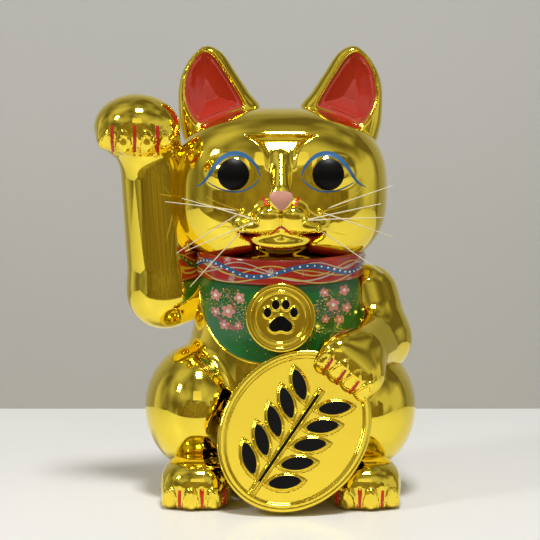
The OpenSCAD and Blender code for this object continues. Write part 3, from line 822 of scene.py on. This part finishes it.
# Vitreous green enamel: a deep, even green under a clear gloss, with faint brush marks.
green_enamel = finish_coat(
    "green_bib_enamel", "#1E7434", "#165C28", (0.18, 0.3), mottle=70, bump=0.08, coat=0.2
)
across = loop_points.transpose(1, 0, 2)
bib = closed(
    "bib_enamel", across.reshape(-1, 3), joined_rings(across.shape[0], across.shape[1]),
    green_enamel
)
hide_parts("bib")


def swept(name, paths, thick, tip, material):
    """Round rods along a list of paths, each narrowing from its root to its tip."""
    sockets = (("Root radius", "NodeSocketFloat"), ("Tip share", "NodeSocketFloat"))
    tree, given, end = with_sockets("rods_on_lines", sockets)
    lines = node(tree, "GeometryNodeMeshToCurve", {}, {"Mesh": given["Geometry"]})
    along = node(tree, "GeometryNodeSplineParameter")
    narrow = node(
        tree, "ShaderNodeMapRange", {"To Min": 1.0}, {
            "Value": along.outputs["Factor"], "To Max": given["Tip share"]
        }
    )
    width = node(
        tree, "ShaderNodeMath", {"operation": "MULTIPLY"},
        {0: narrow.outputs["Result"], 1: given["Root radius"]}
    )
    ring = node(tree, "GeometryNodeCurvePrimitiveCircle", {"Resolution": 10, "Radius": 1.0})
    skin = node(
        tree,
        "GeometryNodeCurveToMesh",
        {"Fill Caps": True},
        {
            "Curve": lines.outputs["Curve"], "Profile Curve": ring.outputs["Curve"],
            "Scale": width.outputs[0]
        },
    )
    smooth = node(tree, "GeometryNodeSetShadeSmooth", {}, {"Geometry": skin.outputs["Mesh"]})
    real = node(tree, "GeometryNodeRealizeInstances", {}, {"Geometry": smooth.outputs["Geometry"]})
    paint = node(
        tree, "GeometryNodeSetMaterial", {"Material": material},
        {"Geometry": real.outputs["Geometry"]}
    )
    tree.links.new(paint.outputs["Geometry"], end.inputs["Geometry"])
    points = np.concatenate(paths)
    ends = np.cumsum([len(path) for path in paths])
    edges = [(i, i + 1) for i in range(len(points) - 1) if i + 1 not in ends]
    return grown(name, points, edges, tree, {"Root radius": thick * MM, "Tip share": tip})


edge_turns = np.linspace(math.pi + 0.02, 2 * math.pi - 0.02, 120)
bib_edge = swept("bib_gold_edge", [on_chest(*bib_edge_at(edge_turns).T, 0.5)], 1.0, 1.0, plating)


class Paint:
    """Brush marks laid on a form, all of one colour."""

    def __init__(self, form, start=-150, far=190, up=0.25, sunk=0.6):
        self.form, self.up, self.sunk = form, up, sunk
        self.start, self.far, self.parts = start, far, []

    def rays(self, flat):
        """Where each place of the pattern starts, and which way it falls on the form."""
        start = np.stack([flat[..., 0], flat[..., 0] * 0 + self.start, flat[..., 1]], -1)
        return start.reshape(-1, 3), np.array([0.0, 1.0, 0.0])

    def lay(self, flat, rise, ringed):
        """A grid of places on the flat becomes a closed film on the form."""
        n, m = flat.shape[:2]
        start, way = self.rays(flat)
        skin = start + reach(self.form, start, way, self.far)[:, None] * way
        square = slope_of(self.form, skin)
        square /= np.maximum(np.linalg.norm(square, axis=1, keepdims=True), 1e-6)
        top = skin + square * (rise.reshape(-1, 1) * (self.up + self.sunk) - self.sunk)
        low = skin - square * (self.sunk + 0.1)
        faces = []
        for i in range(n - 1):
            for j in range(m if ringed else m - 1):
                k = (j + 1) % m
                faces.append((i * m + j, i * m + k, (i + 1) * m + k, (i + 1) * m + j))
        a, b, _, d = np.array(faces).T
        facing = (np.cross(top[b] - top[a], top[d] - top[a]) * square[a]).sum()
        if ringed:
            faces.append(tuple(range(m))[::-1])
        if facing < 0:
            faces = [face[::-1] for face in faces]
        edges = {(face[i - 1], face[i]) for face in faces for i in range(len(face))}
        walls = [(b, a, a + n * m, b + n * m) for a, b in sorted(edges) if (b, a) not in edges]
        under = [tuple(i + n * m for i in face[::-1]) for face in faces]
        self.parts.append(
            (np.concatenate([top, low]), faces + walls + under, np.concatenate([square, -square]))
        )

    def blob(self, outline, rings=7):
        """A patch inside a closed outline, thickest in the middle."""
        outline = np.array(outline, float)
        middle = outline.mean(0)
        share = np.concatenate([np.linspace(0.04, 0.9, rings), [0.96, 1.0]])
        flat = middle + (outline - middle)[None] * share[:, None, None]
        rise = np.repeat(np.sqrt(1 - np.minimum(share, 1) ** 10)[:, None], len(outline), 1)
        self.lay(flat, rise, True)

    def stroke(self, line, widths):
        """A brush stroke along a line, with a width that changes from end to end."""
        line = np.array(line, float)
        along = np.gradient(line, axis=0)
        along /= np.linalg.norm(along, axis=1, keepdims=True)
        side = np.stack([-along[:, 1], along[:, 0]], -1)
        widths = np.interp(np.linspace(0, 1, len(line)), np.linspace(0, 1, len(widths)), widths)
        t = np.array([-1, -0.85, -0.45, 0, 0.45, 0.85, 1])
        flat = line[:, None] + side[:, None] * (t[None, :] * widths[:, None] / 2)[..., None]
        rise = np.sqrt(1 - np.abs(t) ** 8)[None] * np.ones((len(line), 1))
        rise[[0, -1]] = 0
        self.lay(flat, rise, False)

    def piece(self, name, material, slot):
        points, faces, normals, count = [], [], [], 0
        for part_points, part_faces, part_normals in self.parts:
            faces += [tuple(i + count for i in face) for face in part_faces]
            points.append(part_points)
            normals.append(part_normals)
            count += len(part_points)
        made = to_mesh(name, np.concatenate(points), faces, material, "cat", np.concatenate(normals))
        return made


def bib_form(p):
    return belly_form(p) - BIB_T


BLOSSOMS = (
    (-41, 150, 3.0), (-32, 161, 2.3), (-51, 162, 2.4), (-51, 149, 2.0), (-44, 139, 2.2),
    (-33, 139, 1.7)
)
BLOSSOMS += (
    (41, 155, 2.8), (50, 166, 2.3), (34, 165, 2.0), (52, 152, 2.1), (46, 143, 2.2), (35, 144, 1.8)
)
petals = Paint(bib_form, up=0.35)
hearts = Paint(bib_form, up=0.55)
twigs = Paint(bib_form, up=0.25)
for number, (x, z, size) in enumerate(BLOSSOMS):
    for k in range(5):
        a = k * 2 * math.pi / 5 + 0.7 * number
        way = np.array([math.cos(a), math.sin(a)])
        turn_a = rounds(14)
        round_petal = np.stack([np.cos(turn_a) * size * 0.82, np.sin(turn_a) * size * 0.72], -1)
        petals.blob((x, z) + way * size * 1.15 + round_petal @ np.array([way, [-way[1], way[0]]]), 3)
    hearts.blob((x, z) + 0.55 * size * np.stack([np.cos(rounds(10)), np.sin(rounds(10))], -1), 2)
for line, widths in (
    (((-56, 152), (-47, 143), (-37, 137), (-27, 139)), (1.0, 2.6, 5.5, 2.0)),
    (((-46, 168), (-38, 158), (-34, 150)), (0.6, 1.2, 0.7)),
    (((54, 158), (46, 150), (37, 147)), (0.8, 1.6, 0.7)),
    (((28, 172), (36, 160), (40, 151)), (0.5, 1.0, 0.6)),
):
    twigs.stroke(spline(line, 14), widths)
# Overglaze colours: a chalky pink for the petals, brown for the twigs, white for the hearts.
petal_pink = finish_coat("petal_pink_overglaze", "#D9908A", "#C97D78", (0.3, 0.45), mottle=250)
twig_brown = finish_coat("twig_brown_overglaze", "#A46A62", "#8E5650", (0.35, 0.5), mottle=250)
petals.piece("bib_petals", petal_pink, "green_enamel")
hearts.piece("bib_flower_hearts", white_slip, "green_enamel")
twigs.piece("bib_twigs", twig_brown, "green_enamel")

# Glitter: bits of gold and silver foil half a millimetre across, thickest near the medallion.
gold_glitter = finish_coat(
    "gold_foil_glitter", "#E8C765", "#D8B24A", (0.2, 0.35), metallic=1.0, mottle=500
)
silver_glitter = finish_coat(
    "silver_foil_glitter", "#D9D6CC", "#C4C1B8", (0.2, 0.35), metallic=1.0, mottle=500
)
chance = np.random.default_rng(11)
for name, count, foil in (
    ("bib_gold_glitter", 900, gold_glitter), ("bib_silver_glitter", 420, silver_glitter)
):
    reach_out = 27 + np.abs(chance.normal(0, 17, count))
    angle = chance.uniform(math.pi, 2 * math.pi, count)
    x, z = reach_out * np.cos(angle) * 1.15, 168 + 0.75 * reach_out * np.sin(angle)
    keep = (
        np.hypot(x, (z - BIB_TOP) * BIB_R / BIB_L) < BIB_R - 2
    ) & (z < BIB_TOP - 6) & (np.hypot(x, z - 146.4) > 27)
    specks = dots(name, on_chest(x[keep], z[keep], BIB_T + 0.05), 0.6, 0.6, foil, seed=5, detail=1)

# ---------------------------------------------------------------- medallion
# A round plaque with two raised rings, pressed from a die and plated with
# the cat. The paw print is raised, and its top is filled with black enamel.
MEDAL_R = 26.7
medal_low, medal_high = (np.array(corner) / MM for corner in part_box("medallion"))
MEDAL_Z = (medal_low[2] + medal_high[2]) / 2
MEDAL_Y = medal_low[1]
PADS = [(x, z + MEDAL_Z, 3.9, 4.9) for x, z in ((-10.2, 4.2), (-3.9, 10.2), (3.9, 10.2), (10.2, 4.2))]
PALM = ((-4.8, -6.6, 5.4), (4.8, -6.6, 5.4), (0, -3.6, 6.4))


def palm_distance(x, z):
    d = [np.hypot(x - a, z - MEDAL_Z - b) - r for a, b, r in PALM]
    return blend(blend(d[0], d[1], 3), d[2], 3)


def pad_distance(x, z):
    d = palm_distance(x, z)
    for a, b, rx, rz in PADS:
        d = np.minimum(d, (np.hypot((x - a) / rx, (z - b) / rz) - 1) * rx)
    return d


def medal_form(p):
    x, y, z = p[..., 0], p[..., 1], p[..., 2]
    r = np.hypot(x, z - MEDAL_Z)
    plaque = -blend(-(r - MEDAL_R), -(MEDAL_Y + 1.9 - y), 1.6)
    plaque = np.maximum(plaque, y + 52)
    for ring_r, half, top in ((MEDAL_R - 1.9, 1.5, 1.5), (MEDAL_R - 6.4, 1.1, 1.2)):
        plaque = blend(
            plaque,
            np.hypot(np.maximum(np.abs(r - ring_r) - half + 1, 0), (y - MEDAL_Y - 1.9)) - top, 0.8
        )
    relief = -blend(-(pad_distance(x, z)), -(MEDAL_Y + 0.3 - y), 1.6)
    return blend(plaque, np.maximum(relief, y + 60), 1.0)


medal = cast("medallion_plaque", medal_form, medal_low - (3, 3, 3), medal_high + (3, 6, 3), 0.8, plating)
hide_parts("medallion")
# Black enamel, filled in by brush and fired to a hard gloss.
black_enamel = finish_coat(
    "black_enamel_fill", "#070708", "#0D0D0E", (0.3, 0.42), mottle=120, bump=0.1, gleam=0.12
)
print_paint = Paint(medal_form, start=-90, far=40, up=0.2, sunk=0.3)
for a, b, rx, rz in PADS:
    print_paint.blob(
        (a, b) + np.stack([np.cos(rounds(24)) * (rx - 0.9), np.sin(rounds(24)) * (rz - 0.9)], -1), 3
    )
palm_outline = []
for a in rounds(48):
    way = np.array([math.cos(a), math.sin(a)])
    r = np.linspace(0, 16, 160)
    at = np.array([0, MEDAL_Z - 5]) + r[:, None] * way
    inside = palm_distance(at[:, 0], at[:, 1]) < -0.9
    palm_outline.append(at[np.nonzero(inside)[0].max()])
print_paint.blob(palm_outline, 4)
paw_print = print_paint.piece("medallion_paw_print", black_enamel, "black_enamel")
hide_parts("medallion_motif")

# ---------------------------------------------------------------- coin
# A large oval coin, pressed with a raised rim and a raised ear of rice, and
# stood on edge against the belly. The rice is filled with black enamel.
COIN_RIM_W, COIN_RIM_H, RELIEF = 6, 2, 1.9
GRAIN_L, GRAIN_W, STALK_W, GRAIN_PAIRS = 32, 12.5, 4, 5
PITCH = (COIN_L - 2 * COIN_RIM_W) / (GRAIN_PAIRS + 2)
STALK_DROP, STALK_HALF_L = 0.6 * PITCH, (GRAIN_PAIRS + 0.5) * PITCH / 2
GRAIN_R = ((GRAIN_L / 2) ** 2 + (GRAIN_W / 2) ** 2) / GRAIN_W
GRAINS = [
    (side, side * STALK_W, (i - GRAIN_PAIRS / 2 - 0.3) * PITCH, math.radians(50) * side)
    for i in range(GRAIN_PAIRS)
    for side in (-1, 1)
]


def coin_axes(p):
    """Places across, along and out of the coin."""
    q = p - coin_at
    return q @ coin_side, q @ coin_up, q @ coin_out


def grain_distance(s, u):
    """Distance on the coin's face from the nearest grain or the stalk."""
    d = np.maximum(np.abs(s) - STALK_W / 2, np.abs(u + STALK_DROP) - STALK_HALF_L)
    for _, at_s, at_u, lean in GRAINS:
        ds, du = s - at_s, u - at_u
        gs = ds * math.cos(lean) - du * math.sin(lean)
        gu = ds * math.sin(lean) + du * math.cos(lean) - GRAIN_L / 2
        d = np.minimum(d, np.hypot(np.abs(gs) + GRAIN_R - GRAIN_W / 2, gu) - GRAIN_R)
    return d


def oval_distance(s, u, inset):
    a, b = COIN_W / 2 - inset, COIN_L / 2 - inset
    q = np.hypot(s / a, u / b)
    return q * (q - 1) / np.maximum(np.hypot(s / a**2, u / b**2), 1e-9)


def coin_form(p):
    s, u, out = coin_axes(p)
    edge = oval_distance(s, u, 0)
    plate_ = -blend(-edge, -(np.abs(out) - COIN_T / 2), 3)
    dish = -blend(-oval_distance(s, u, COIN_RIM_W), -(COIN_T / 2 - COIN_RIM_H - out), 1.5)
    plate_ = carve(plate_, dish, 1.6)
    inner = np.maximum(grain_distance(s, u), oval_distance(s, u, COIN_RIM_W + 1.5))
    top = out - (COIN_T / 2 - COIN_RIM_H + RELIEF)
    relief = np.maximum(-blend(-inner, -top, 1.6), -out)
    return blend(plate_, relief, 1.2)


coin = cast("oval_coin", coin_form, coin_low - (3, 3, 3), coin_high + (3, 3, 3), 1.15, plating)
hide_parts("coin")


def on_coin(points):
    """Places on the coin's flat as places in the front view that lie on its face."""
    s, u = points[..., 0], points[..., 1]
    world = coin_at + s[..., None] * coin_side + u[..., None] * coin_up + coin_out * (COIN_T / 2)
    return world


class CoinPaint(Paint):
    """The same brush, working square to the coin's face."""

    def rays(self, flat):
        return on_coin(flat).reshape(-1, 3) + coin_out * 6, -coin_out


rice = CoinPaint(coin_form, far=16, up=0.2, sunk=0.3)
for _, at_s, at_u, lean in GRAINS:
    half = GRAIN_L / 2 - 2.6
    v = np.concatenate([np.linspace(-half, half, 15), np.linspace(half, -half, 15)[1:-1]])
    sign = np.concatenate([np.ones(15), -np.ones(13)])
    wide = (np.sqrt(np.maximum((GRAIN_R - 1.1) ** 2 - v**2, 0)) - (GRAIN_R - GRAIN_W / 2)) * sign
    wide[[0, 14]] = 0
    gu = v + GRAIN_L / 2
    outline = np.stack(
        [
            at_s + wide * math.cos(lean) + gu * math.sin(lean),
            at_u - wide * math.sin(lean) + gu * math.cos(lean)
        ],
        -1
    )
    shrink = np.hypot(outline[:, 0] / (COIN_W / 2 - 9), outline[:, 1] / (COIN_L / 2 - 9))
    outline = outline / np.maximum(shrink, 1)[:, None]
    rice.blob(outline, 4)
stalk_top, stalk_low = STALK_HALF_L - STALK_DROP - 1, -STALK_HALF_L - STALK_DROP + 6
stalk_u = np.concatenate([np.linspace(stalk_low, stalk_top, 20), np.linspace(stalk_top, stalk_low, 20)])
stalk_s = np.concatenate([np.full(20, 1.1), np.full(20, -1.1)])
rice.blob(np.stack([stalk_s, stalk_u], -1), 3)
rice_fill = rice.piece("coin_rice_ear", black_enamel, "black_enamel")
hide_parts("coin_motif")

# ---------------------------------------------------------------- whiskers
# Stiff nylon bristles, 0.8 mm thick, are glued into drilled pips on the
# muzzle: three pips a side, five bristles a side, each bent a little down.
PIPS = ((29.4, 228), (17.8, 221.4), (28.8, 214.6))
BRISTLE_PIP = (0, 0, 1, 1, 2)
SWEEP, BRISTLE_L, BRISTLE_R, TIP_SHARE, DROOP = math.radians(8), 61, 0.5, 0.6, 2.2
pip_at = {}
for side in (-1, 1):
    for i, (x, z) in enumerate(PIPS):
        y = -150 + reach(face_form, np.array([[side * x, -150, z]]), np.array([0, 1, 0]), 120)[0]
        pip_at[side, i] = np.array([side * x, y + 0.8, z])


def pip_form(p):
    """The pips: small mounds of clay with a dent where the bristle goes in."""
    form = np.full(p.shape[:-1], 1e3)
    for at in pip_at.values():
        mound = egg(p, at, (3.0, 2.6, 3.0))
        form = np.minimum(form, carve(mound, egg(p, at + (0, -2.8, 0), (1.4, 1.4, 1.4)), 0.6))
    return form


pips = cast("whisker_pips_clay", pip_form, (-36, -92, 208), (36, -60, 236), 0.55, plating)
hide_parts("whisker_pips")
# Nylon bristle: milky, slightly translucent, paler at the root.
nylon = finish_coat("milky_nylon", "#EDE6C9", "#DDD3AE", (0.25, 0.4), mottle=200)
for name, side, rises in (
    ("left_whiskers", 1, (19, -19, 12, 2, -34)), ("right_whiskers", -1, (7, -32, 16, -23, -47))
):
    paths = []
    for i, rise in zip(BRISTLE_PIP, rises):
        up = math.radians(rise)
        way = np.array(
            [side * math.cos(up) * math.cos(SWEEP), math.cos(up) * math.sin(SWEEP), math.sin(up)]
        )
        t = np.linspace(0, 1, 16)
        paths.append(
            pip_at[side, i] + np.outer(t * BRISTLE_L, way) + np.outer(DROOP * t * (1 - t), [0, -1, 0.6])
        )
    bristles = swept(name + "_bristles", paths, BRISTLE_R, TIP_SHARE, nylon)
    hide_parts(name)

# ---------------------------------------------------------------- stopper
# A moulded rubber plug in the hole of the base, its flange up in the recess,
# so that coins can be taken out. It slides straight down and out.
rubber = finish_coat(
    "black_moulded_rubber", "#2B2A29", "#353432", (0.55, 0.75), mottle=400, grain=2500, bump=0.15
)
PLUG_R = HOLE_R - 0.05
TOP_Z = RECESS_H + WALL + 3
lathe = [
    (0.5, 1.9), (6, 1.9), (7, 2.3), (16, 2.3), (17, 1.6), (24, 1.6), (24.8, 1.9), (25, 2.6),
    (24.8, 3.6), (24.3, 4)
]
lathe += [
    (PLUG_R, 4), (PLUG_R, 5), (PLUG_R - 0.25, 5.6), (PLUG_R, 6.4), (PLUG_R - 0.25, 7.4),
    (PLUG_R, 8.6), (PLUG_R, 9.6)
]
lathe += [(PLUG_R - 0.5, 10.9), (PLUG_R - 1.6, TOP_Z), (14, TOP_Z), (13, 10.6), (0.5, 10.6)]
plug_turns = rounds(72)
plug_rings = [
    np.stack([r * np.cos(plug_turns), HOLE_Y + r * np.sin(plug_turns), plug_turns * 0 + z], -1) for r,
    z in lathe
]
plug = closed("stopper_plug", np.concatenate(plug_rings), joined_rings(len(lathe), 72), rubber, "stopper")
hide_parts("stopper")

# ---------------------------------------------------------------- painted ears
# The hollow of each ear is flooded with deep red gloss enamel, up to a thin
# rim of gold, after the plating.
ear_red = finish_coat(
    "deep_red_ear_enamel", "#B3260F", "#9A1E0C", (0.06, 0.14), mottle=45, bump=0.5, coat=0.6
)
for side, label in ((1, "left"), (-1, "right")):
    enamel = Paint(dished_ear_form, start=-60, far=70, up=0.2)
    enamel.blob(EAR_RED * (side, 1), 16)
    enamel.piece(label + "_ear_red", ear_red, "red_enamel")

# ---------------------------------------------------------------- painted eyes
# Gold eye-whites are left bare. Round pupils of black gloss and a blue line
# round each eye, thick above and drawn out into a wing, are brushed on.
UPPER_LID = (
    (15.2, 254), (19.5, 263.8), (27, 270.6), (35.2, 272.7), (43.8, 270), (51, 262.5), (56.5, 254.2),
    (61, 249.4), (67, 246.3)
)
LOWER_LID = ((15.6, 254.3), (20, 249), (27, 244.7), (35, 243.2), (44, 244.5), (51, 247.4), (57.5, 251))
PUPIL_X, PUPIL_Z, PUPIL_R = 36.4, 256.5, 13.1
pupils = Paint(face_form, up=0.3)
liner = Paint(face_form, up=0.22)
for side in (1, -1):
    turn_round = rounds(40)
    pupils.blob(
        np.stack(
            [side * PUPIL_X + PUPIL_R * np.cos(turn_round), PUPIL_Z + PUPIL_R * np.sin(turn_round)],
            -1
        ),
        9
    )
    liner.stroke(
        spline(np.array(UPPER_LID) * (side, 1), 60), (0.7, 2.4, 3.7, 4.2, 3.9, 3.3, 2.7, 1.9, 0.3)
    )
    liner.stroke(spline(np.array(LOWER_LID) * (side, 1), 40), (0.7, 1.3, 1.5, 1.5, 1.4, 1.2, 0.6))
lid_blue = finish_coat("lid_blue_overglaze", "#2E6A9C", "#245B8A", (0.15, 0.28), mottle=150, coat=0.3)
pupils.piece("pupils", black_enamel, "black_enamel")
liner.piece("eye_lines", lid_blue, "black_enamel")

# ---------------------------------------------------------------- painted nose and mouth
# A pink nose with a red stroke at each nostril, and a red upper lip, all
# brushed on over the plating in overglaze colours.
NOSE = (
    (0, 244.4), (5.5, 244), (9.2, 241.8), (9.2, 238), (5.6, 232.6), (0.3, 228), (-5.2, 232.6),
    (-9.2, 238), (-9.2, 241.8), (-5.5, 244)
)
nose = Paint(face_form, up=0.3)
nose.blob(spline(NOSE, 44, loop=True), 8)
nose_pink = finish_coat("nose_pink_overglaze", "#DFA491", "#CF907F", (0.3, 0.42), mottle=120)
nose.piece("nose_pink", nose_pink, "red_enamel")
lips = Paint(face_form, up=0.25)
for side in (1, -1):
    lips.stroke(
        spline(np.array(((14.4, 240), (11.8, 235.4), (7.2, 231.6))) * (side, 1), 12),
        (1.4, 2.6, 0.7)
    )
lips.stroke(
    spline(((-9, 209.6), (-5, 213), (0.2, 216.4), (5.4, 213), (9.4, 209.6)), 24),
    (0.6, 1.8, 2.1, 1.8, 0.6)
)
lip_red = finish_coat("lip_red_overglaze", "#DD2E17", "#C42410", (0.3, 0.42), mottle=150)
lips.piece("nostrils_and_lips", lip_red, "red_enamel")

# ---------------------------------------------------------------- painted toes
# Red overglaze strokes, one to a groove between the toes, on all four paws,
# brushed on last.
toes = Paint(raised_form, up=0.3)
for x in RAISED_LINES:
    toes.stroke(spline(((x - 0.8, 272.5), (x, 284), (x, 295.5)), 14), (2.6, 3.2, 2.8))
toes.piece("raised_paw_toe_lines", lip_red, "red_enamel")
toes = Paint(foot_form, up=0.3)
for x in (*FOOT_LINES, *(-x for x in FOOT_LINES)):
    toes.stroke(spline(((x, 1.5), (x, 9), (x + 0.3, 17.5)), 12), (2.2, 3.0, 2.6))
toes.piece("foot_toe_lines", lip_red, "red_enamel")
toes = Paint(resting_form, up=0.3)
for t in (-1, 0, 1):
    x, z = 47 + 10 * t, 101.5 - 8.4 * t
    toes.stroke(spline(((x - 7, z - 7), (x - 2, z), (x + 3, z + 8)), 12), (1.2, 3.0, 2.2))
toes.piece("resting_paw_toe_lines", lip_red, "red_enamel")

# ---------------------------------------------------------------- studio
# A pale table in front of a grey wall, a lamp above, a window to the left,
# a lit cloth high in front, and a dim room behind the camera, which the gold
# mirrors.


def panel(name, corners, material):
    """A flat sheet of the studio, which isn't part of the cat."""
    mesh = bpy.data.meshes.new(name)
    mesh.from_pydata([tuple(c) for c in corners], [], [list(range(len(corners)))])
    mesh.materials.append(material)
    sheet = bpy.data.objects.new(name, mesh)
    bpy.context.collection.objects.link(sheet)
    return sheet


pale_table = finish_coat("pale_laminate", "#E9E9E8", "#E1E1E0", (0.35, 0.5), mottle=4)
grey_wall = finish_coat("grey_wall_paint", "#D6D9DC", "#DEE0E3", (0.8, 0.9), mottle=1.5)
# Painted shade for the dim room behind the camera: a dark brown mottled with paler patches of painted
# light, which the gold mirrors.
painted_room_shade = finish_coat("painted_room_shade", "#EBDCA8", "#6B5733", (0.8, 0.9), mottle=3.5)


def upright(name, a, b, low, high, material):
    """A wall from point a to point b on the plan."""
    return panel(name, [(*a, low), (*b, low), (*b, high), (*a, high)], material)


# A white diffuser lit from behind, which the coin and the brow mirror.
diffuser = finish_coat("lit_diffuser_cloth", "#F4F1E6", "#EEEADD", (0.8, 0.9), mottle=1)
diffuser_shader = diffuser.node_tree.nodes["Principled BSDF"]
diffuser_shader.inputs["Emission Color"].default_value = linear("#FFF9E8")
diffuser_shader.inputs["Emission Strength"].default_value = 0.55
panel("table_top", [(-1.3, -0.36, 0), (1.3, -0.36, 0), (1.3, 0.44, 0), (-1.3, 0.44, 0)], pale_table)
upright("back_wall", (3.5, 2.0), (-3.5, 2.0), -1.2, 3.0, grey_wall)
# Shelves and a doorway behind the camera, seen in the gold only as uneven dark shapes.
skyline = ((-3.2, 0.7), (-2.3, 1.0), (-2.2, 0.55), (-1.5, 0.6), (-1.45, 1.1), (-0.7, 1.15), (-0.6, 0.8))
skyline += ((0.2, 0.75), (0.3, 0.95), (1.1, 1.0), (1.2, 0.5), (1.9, 0.6), (2.0, 1.2), (3.2, 0.9))
# The dim room's sheet, its darkness painted shade in its colour rather than an unlit room.
panel(
    "room_front", [(-3.2, -2.6, -1.2), *((x, -2.6, z) for x, z in skyline), (3.2, -2.6, -1.2)],
    painted_room_shade
)
upright("diffuser", (-0.5, -2.5), (0.6, -2.5), 1.05, 2.1, diffuser)
# The room's floor, dark with the same painted shade.
panel(
    "room_floor", [(-3.2, -2.6, -0.75), (3.2, -2.6, -0.75), (3.2, 2.0, -0.75), (-3.2, 2.0, -0.75)],
    painted_room_shade
)


def soft_light(name, at, target, size, watts, tint="#FFFFFF"):
    lamp = bpy.data.lights.new(name, "AREA")
    lamp.shape = "RECTANGLE"
    lamp.size, lamp.size_y = size
    lamp.energy = watts
    lamp.color = linear(tint)[:3]
    box = bpy.data.objects.new(name, lamp)
    bpy.context.collection.objects.link(box)
    box.location = at
    box.rotation_euler = (Vector(target) - Vector(at)).to_track_quat("-Z", "Y").to_euler()
    return box


soft_light("ceiling_lamp", (0.1, -0.75, 2.2), (0, 0, 0.2), (0.45, 0.45), 40)
soft_light("left_window", (-1.7, -1.05, 1.5), (0, 0, 0.15), (0.3, 0.5), 12)

# Soft light from a ceiling and side walls that are pale in some places and dim in others.
world = bpy.data.worlds.new("pale_room_light")
world.use_nodes = True
sky = world.node_tree
way = node(sky, "ShaderNodeTexCoord").outputs["Generated"]
patches = node(sky, "ShaderNodeTexNoise", {"Scale": 1.7, "Detail": 1.5}, {"Vector": way})
share = node(
    sky, "ShaderNodeMapRange", {"From Min": 0.36, "From Max": 0.64},
    {"Value": patches.outputs["Fac"]}
)
tone = node(sky, "ShaderNodeMix", {"data_type": "RGBA"}, {"Factor": share.outputs["Result"]})
tone.inputs["A"].default_value = linear("#857D6A")
tone.inputs["B"].default_value = linear("#FFFCF2")
sky.links.new(tone.outputs["Result"], sky.nodes["Background"].inputs["Color"])
sky.nodes["Background"].inputs["Strength"].default_value = 0.62
bpy.context.scene.world = world

lens = bpy.data.cameras.new("camera")
lens.lens = 107.1
lens.sensor_width = 36
camera = bpy.data.objects.new("camera", lens)
bpy.context.collection.objects.link(camera)
camera.location = (-0.0083, -1.3, 0.26)
camera.rotation_euler = (
    Vector((-0.0083, 0, 0.179)) - camera.location
).to_track_quat("-Z", "Y").to_euler()
bpy.context.scene.camera = camera
bpy.context.scene.view_settings.view_transform = "Standard"
